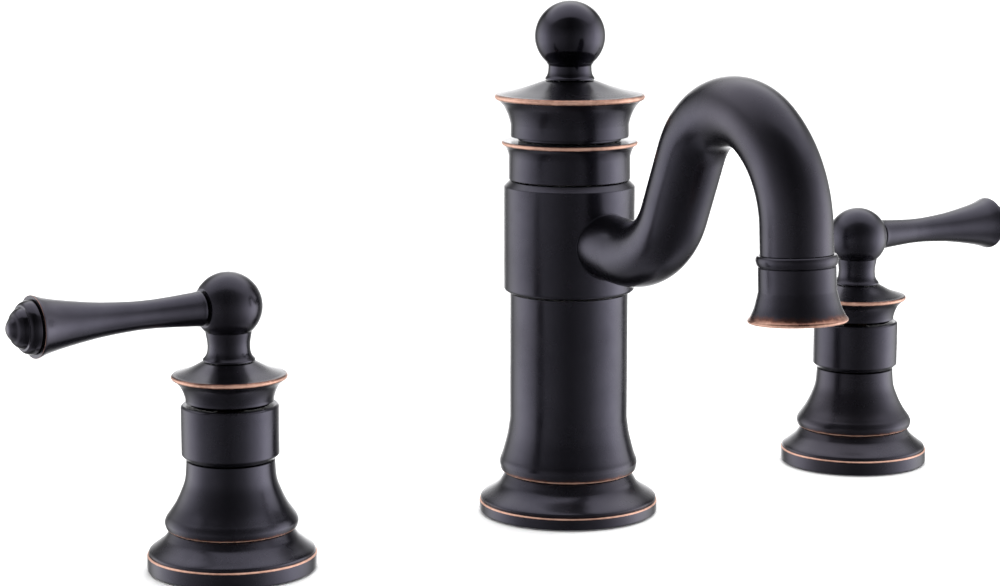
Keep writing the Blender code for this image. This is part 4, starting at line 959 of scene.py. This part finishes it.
def neck_ring(mesh_data, distance, radius):
    forward, height, heading = neck_axis(distance)
    centre = Vector((0.0, -forward, height))
    up = Vector((0.0, sin(heading), cos(heading)))
    return [mesh_data.verts.new(centre + radius * around(SIDEWAYS, up, turn)) for turn in ring_angles(ROUND_STEPS)]


def swan_neck():
    """Tube along the neck's axis, swelling a little from the arch to its end."""
    end = NECK_LENGTH - BEAD_CENTRE - BEAD_HALF_WIDTH - BEAD_GAP
    start = NECK_SOCKET + CLEARANCE
    swell_start = sum(length for length, turn in neck_runs()[:3])
    count = round((end - start) / NECK_STEP)
    places = [start + (end - start) * step / count for step in range(count + 1)]

    def build(mesh_data, wear_layer):
        rings = []
        for distance in places:
            swell = max(0.0, distance - swell_start) / (end - swell_start)
            rings.append(neck_ring(mesh_data, distance, NECK_RADIUS + NECK_SWELL * swell))
        rings += [neck_ring(mesh_data, distance, NECK_BORE) for distance in places[:: -NECK_BORE_STRIDE]]
        join_rings(mesh_data, rings)

    neck = piece("fine_swan_neck", "spout", bronze, ["swan_neck"], build)
    neck.data.set_sharp_from_angle(angle=radians(NECK_SHARP_ANGLE))


def neck_joint():
    """Thin bead where the neck meets the spout collar, along their meeting line."""
    collar_radius = box_span("spout_collar")[0]
    dip = radians(NECK_DIP)
    run, up = Vector((0.0, -cos(dip), -sin(dip))), Vector((0.0, -sin(dip), cos(dip)))

    def build(mesh_data, wear_layer):
        rings = []
        for turn in ring_angles(ROUND_STEPS):
            across = NECK_RADIUS * around(SIDEWAYS, up, turn)
            reach = (sqrt(collar_radius**2 - across.x**2) + across.y) / cos(dip)
            centre = Vector((0.0, 0.0, NECK_AXIS_HEIGHT)) + across + run * reach
            outward = across.normalized()
            normal = Vector((centre.x, centre.y, 0.0)).normalized()
            bead = [centre + JOINT_BEAD * around(outward, normal, angle) for angle in ring_angles(JOINT_STEPS)]
            rings.append([mesh_data.verts.new(corner) for corner in bead])
        join_rings(mesh_data, rings)

    joint = piece("neck_joint_bead", "spout", bronze, [], build)


def at_mouth():
    """Matrix of the mouth, with Z pointing back up the outlet."""
    forward, height, heading = neck_axis(NECK_LENGTH)
    return Matrix.Translation((0.0, -forward, height)) @ Matrix.Rotation(-(heading + radians(90)), 4, "X")


def mouth_wear(height):
    return MOUTH_WEAR * max(0.0, min(1.0, (MOUTH_COPPER - height) / MOUTH_FADE))


def outlet():
    """Flared outlet with its bead, a rubbed mouth, and the aerator inside."""
    place = at_mouth()
    waist = OUTLET_WAIST_RADIUS
    bead_bottom, bead_top = BEAD_CENTRE - BEAD_HALF_WIDTH, BEAD_CENTRE + BEAD_HALF_WIDTH
    mouth_edge = (MOUTH_RADIUS, 2.0 * MOUTH_EDGE, 1.0)
    side = flow([mouth_edge, *between(MOUTH_SHARES, mouth_edge, (waist, MOUTH_FLARE))], FINE_CUTS)[2:]
    bead = [
        (waist + (BEAD_RADIUS - waist) * out, bead_bottom + 2.0 * BEAD_HALF_WIDTH * along)
        for along, out in BEAD_SHARES
    ]
    outline = [
        (AERATOR_HEAD_BORE, AERATOR_RECESS, 0.0),
        (AERATOR_HEAD_BORE + MOUTH_EDGE, MOUTH_EDGE, 0.0),
        (MOUTH_RADIUS - MOUTH_INNER_EDGE, 0.0, MOUTH_INNER_WEAR),
        *arc((MOUTH_RADIUS - MOUTH_ROUNDING, MOUTH_ROUNDING), MOUTH_ROUNDING, *MOUTH_ARC, 1.0),
        *[(radius, height, mouth_wear(height)) for radius, height, wear in side],
        (waist, bead_bottom - BEAD_GROOVE, 0.0),
        (waist - BEAD_GROOVE, bead_bottom, 0.0),
        *flow(plain(bead)),
        (NECK_RADIUS + NECK_SWELL, bead_top, 0.0),
        (AERATOR_BORE, bead_top, 0.0),
        (AERATOR_BORE, AERATOR_SEAT, 0.0),
        (AERATOR_HEAD_BORE, AERATOR_SEAT, 0.0),
    ]
    turned("outlet_bell", "spout", bronze, outline, place)

    housing = washer_line(AERATOR_BORE - AERATOR_LIP, AERATOR_HEAD_RADIUS, AERATOR_RECESS, AERATOR_HEAD_TOP)
    turned("aerator_housing", "spout", brass, housing, place, size=FINE_EDGE)

    def build_screen(mesh_data, wear_layer):
        """Round wires, and straight ones that run out between them."""
        level = AERATOR_HEAD_TOP + AERATOR_LIP
        for number in range(1, SCREEN_RINGS + 1):
            radius = AERATOR_BORE * number / SCREEN_RINGS - SCREEN_WIRE
            wire = arc((radius, level), SCREEN_WIRE, 0.0, 360.0 - 360.0 / WIRE_STEPS, WIRE_STEPS)
            turn_into(mesh_data, wear_layer, wire, place, size=FINE_EDGE, steps=SMALL_STEPS)
        rod = washer_line(0.0, SCREEN_WIRE, AERATOR_BORE * SCREEN_HUB_SHARE, AERATOR_BORE)
        for turn in ring_angles(SCREEN_SPOKES):
            spoke = place @ Matrix.Rotation(turn, 4, "Z") @ level_axis(1.0, 0.0, level)
            turn_into(mesh_data, wear_layer, rod, spoke, closed=False, size=FINE_EDGE, steps=WIRE_STEPS)

    piece("fine_aerator_screen", "spout", steel, ["aerator_screen"], build_screen)


def top_of_spout():
    """Retaining ring, finial cap and finial ball above the spout collar."""
    axis = upright(0.0)
    rim_radius, bottom, top = box_span("retaining_ring")
    shoulder = box_span("thrust_washer_upper")[2] + RETAINER["skirt"]
    outline = plain([(POST_BORE, bottom)]) + flared_line(bottom, RETAINER, rim_radius)
    outline.append((outline[-1][0] - COPPER_EDGE, top, 0.0))
    outline += plain([(SPIGOT_BORE, top), (SPIGOT_BORE, shoulder), (POST_BORE, shoulder)])
    turned("retaining_ring", "root", bronze, outline, axis)

    skirt_bottom = top + FINIAL_CAP_GAP
    rim_radius, bottom, top = box_span("finial_cap")
    post_top = box_span("spout_post")[2] + CLEARANCE
    stud_floor = box_span("finial_ball")[1] - CLEARANCE
    outline = plain([(0.0, post_top), (SPIGOT_BORE, post_top), (SPIGOT_BORE, bottom)])
    outline += plain([(FINIAL_BOSS_RADIUS, bottom), (FINIAL_BOSS_RADIUS, skirt_bottom)])
    outline += flared_line(skirt_bottom, FINIAL_CAP, rim_radius)
    outline += cone_top(outline[-1], FINIAL_FOOT_RADIUS, top)
    outline += plain([(STUD_BORE, top), (STUD_BORE, stud_floor), (0.0, stud_floor)])
    turned("finial_cap", "root", bronze, outline, axis, closed=False)

    foot = top + CLEARANCE
    bottom, top = box_span("finial_ball")[1:]
    radius = FINIAL_BALL["radius"]
    centre = top - radius

    def build(mesh_data, wear_layer):
        neck = stud_line(foot, bottom) + neck_line(FINIAL_BALL, foot, centre)
        turn_into(mesh_data, wear_layer, neck, axis, closed=False)
        joint = -90.0 + degrees(asin(FINIAL_BALL["joint"] / radius)) - FINIAL_SINK
        sphere = arc((0.0, centre), radius, joint, 90.0, BALL_POINTS)
        sphere = [(0.0, sphere[0][1], 0.0), *sphere[:-1], (0.0, centre + radius, 0.0)]
        turn_into(mesh_data, wear_layer, sphere, axis, closed=False, size=FINE_EDGE)

    piece("fine_finial_ball", "root", polished, ["finial_ball"], build)


def make_spout():
    clamp("spout", 0.0)
    flange("base_flange_spout", SPOUT_FLANGE, SPOUT_OGEE_SHARES, 0.0)
    lipped("column", COLUMN, COLUMN_SHARES, column_inside, 0.0)
    spout_collar()
    swan_neck()
    neck_joint()
    outlet()
    top_of_spout()


# Studio


FLOOR_SIZE = 40.0
FLOOR_DROP = 0.0001
OUT_OF_MIRRORS = ("lock_nut", "deck_washer", "deck_gasket", "valve_body", "spout_post")
STUDIO_CENTRE = Vector((0.0, 0.0, 0.09))
TOWARD_CAMERA = Vector((-sin(radians(CAMERA_YAW)), -cos(radians(CAMERA_YAW)), 0.0))
CAMERA_RIGHT = Vector((cos(radians(CAMERA_YAW)), -sin(radians(CAMERA_YAW)), 0.0))
# Brightness of the light tent round the part, by degrees to the right of the direction to the camera
TENT = (
    (-180, 3.00),
    (-168, 1.90),
    (-157, 0.80),
    (-144, 0.35),
    (-118, 2.50),
    (-99, 2.75),
    (-84, 2.00),
    (-70, 1.15),
    (-57, 0.75),
    (-45, 0.55),
    (-33, 0.40),
    (-15, 0.24),
    (0, 0.16),
    (15, 0.24),
    (33, 0.40),
    (45, 0.68),
    (57, 1.28),
    (70, 1.95),
    (84, 3.00),
    (99, 3.90),
    (118, 2.70),
    (144, 0.45),
    (157, 0.80),
    (168, 1.90),
    (180, 3.00),
)
TENT_PEAK = 4.0
TENT_FADE = ((0.0, 0.50), (1.0, 0.35))
ROOF_RISE = (0.45, 0.70)
ROOF_SLOPE = 0.445
ROOF_EDGE = (-0.02, 0.02)
ROOF_SPAN = (0.39, -0.60)
ROOF_LIGHT = (0.85, 2.60)
UNDER_EDGE = (-0.25, -0.70)
UNDER_SHARE = 0.22
UNDER_LIGHT = 0.09
# Lights, in degrees to the right of the direction to the camera and above the floor
KEY_LIGHT = {"energy": 6.0, "turn": 150.0, "elevation": 62.0, "distance": 1.1}
KEY_SIZE = 0.9
SKY_LIGHT = {"energy": 1.8, "turn": 160.0, "elevation": 70.0, "distance": 1.1}
SKY_SPREAD = 100.0


def make_floor():
    mesh_data = bmesh.new()
    bmesh.ops.create_grid(mesh_data, x_segments=1, y_segments=1, size=FLOOR_SIZE / 2.0)
    mesh = bpy.data.meshes.new("floor")
    mesh_data.to_mesh(mesh)
    mesh_data.free()
    floor = bpy.data.objects.new("floor", mesh)
    floor.location = (0.0, 0.0, -FLOOR_DROP)
    mesh.materials.append(make_floor_paint())
    bpy.context.scene.collection.objects.link(floor)
    floor.visible_glossy = False


def clear_mirrors():
    """Keeps the brass, steel and rubber in and below the deck out of the flanges' reflections."""
    for obj in bpy.context.scene.objects:
        if obj.name.removeprefix("fine_").startswith(OUT_OF_MIRRORS):
            obj.visible_glossy = False


def add_lamp(name, kind, energy, turn, elevation, distance):
    """A light toward the studio's centre that neither the camera nor any reflection sees."""
    heading, lift = radians(-90.0 - CAMERA_YAW + turn), radians(elevation)
    away = Vector((cos(lift) * cos(heading), cos(lift) * sin(heading), sin(lift)))
    light = bpy.data.lights.new(name, kind)
    light.energy = energy
    lamp = bpy.data.objects.new(name, light)
    lamp.location = STUDIO_CENTRE + away * distance
    lamp.rotation_euler = away.to_track_quat("Z", "Y").to_euler()
    lamp.visible_camera = False
    lamp.visible_glossy = False
    bpy.context.scene.collection.objects.link(lamp)
    return light


def make_lights():
    """A soft box beyond the part for a gentle shadow, and a wide sky that lifts the floor to white."""
    key = add_lamp("key_softbox", "AREA", **KEY_LIGHT)
    key.shape = "SQUARE"
    key.size = KEY_SIZE
    sky = add_lamp("sky_light", "SUN", **SKY_LIGHT)
    sky.angle = radians(SKY_SPREAD)


def make_tent():
    """World of a light tent: bright panels at both sides, dim in front, a soft roof, and dark below."""
    graph = Graph(bpy.data.worlds.new("light_tent"), "Background", "Generated")
    front, right, height = graph.along(TOWARD_CAMERA), graph.along(CAMERA_RIGHT), graph.along((0.0, 0.0, 1.0))
    turn = graph.ramp(graph.math("ARCTAN2", right, front), -pi, pi)
    panels = graph.add("ShaderNodeValToRGB", {"Fac": turn})
    stops = panels.color_ramp
    stops.interpolation = "CARDINAL"
    while len(stops.elements) < len(TENT):
        stops.elements.new(0.5)
    for stop, (angle, light) in zip(stops.elements, TENT):
        stop.position = (angle + 180.0) / 360.0
        stop.color = rgb(*[light / TENT_PEAK] * 3)
    fade = graph.ramp(height, *TENT_FADE[0], *TENT_FADE[1])
    walls = graph.math("MULTIPLY", graph.math("MULTIPLY", panels.outputs["Color"], fade), TENT_PEAK)
    behind = graph.math("SUBTRACT", graph.math("MULTIPLY", height, ROOF_SLOPE), front)
    roof = graph.math("MULTIPLY", graph.ramp(height, *ROOF_RISE), graph.ramp(behind, *ROOF_EDGE))
    light = graph.mix(roof, walls, graph.ramp(front, *ROOF_SPAN, *ROOF_LIGHT))
    under = graph.math("ADD", graph.math("MULTIPLY", walls, UNDER_SHARE), UNDER_LIGHT)
    light = graph.mix(graph.ramp(height, *UNDER_EDGE), light, under)
    bpy.context.scene.world = graph.drive(Color=rgb(1.0, 1.0, 1.0), Strength=light)


def make_camera():
    data = bpy.data.cameras.new("camera")
    data.lens = CAMERA_LENS
    data.sensor_width = SENSOR_WIDTH
    data.sensor_fit = "HORIZONTAL"
    data.clip_start, data.clip_end = CAMERA_CLIP
    camera = bpy.data.objects.new("camera", data)
    camera.location = CAMERA_PLACE
    camera.rotation_euler = (radians(90.0 - CAMERA_PITCH), 0.0, -radians(CAMERA_YAW))
    bpy.context.scene.collection.objects.link(camera)
    bpy.context.scene.camera = camera


make_camera()
finish_nodes()
make_handle("hot", -1.0)
make_handle("cold", 1.0)
make_spout()
make_floor()
clear_mirrors()
make_tent()
make_lights()
bpy.context.scene.view_settings.view_transform = "Standard"
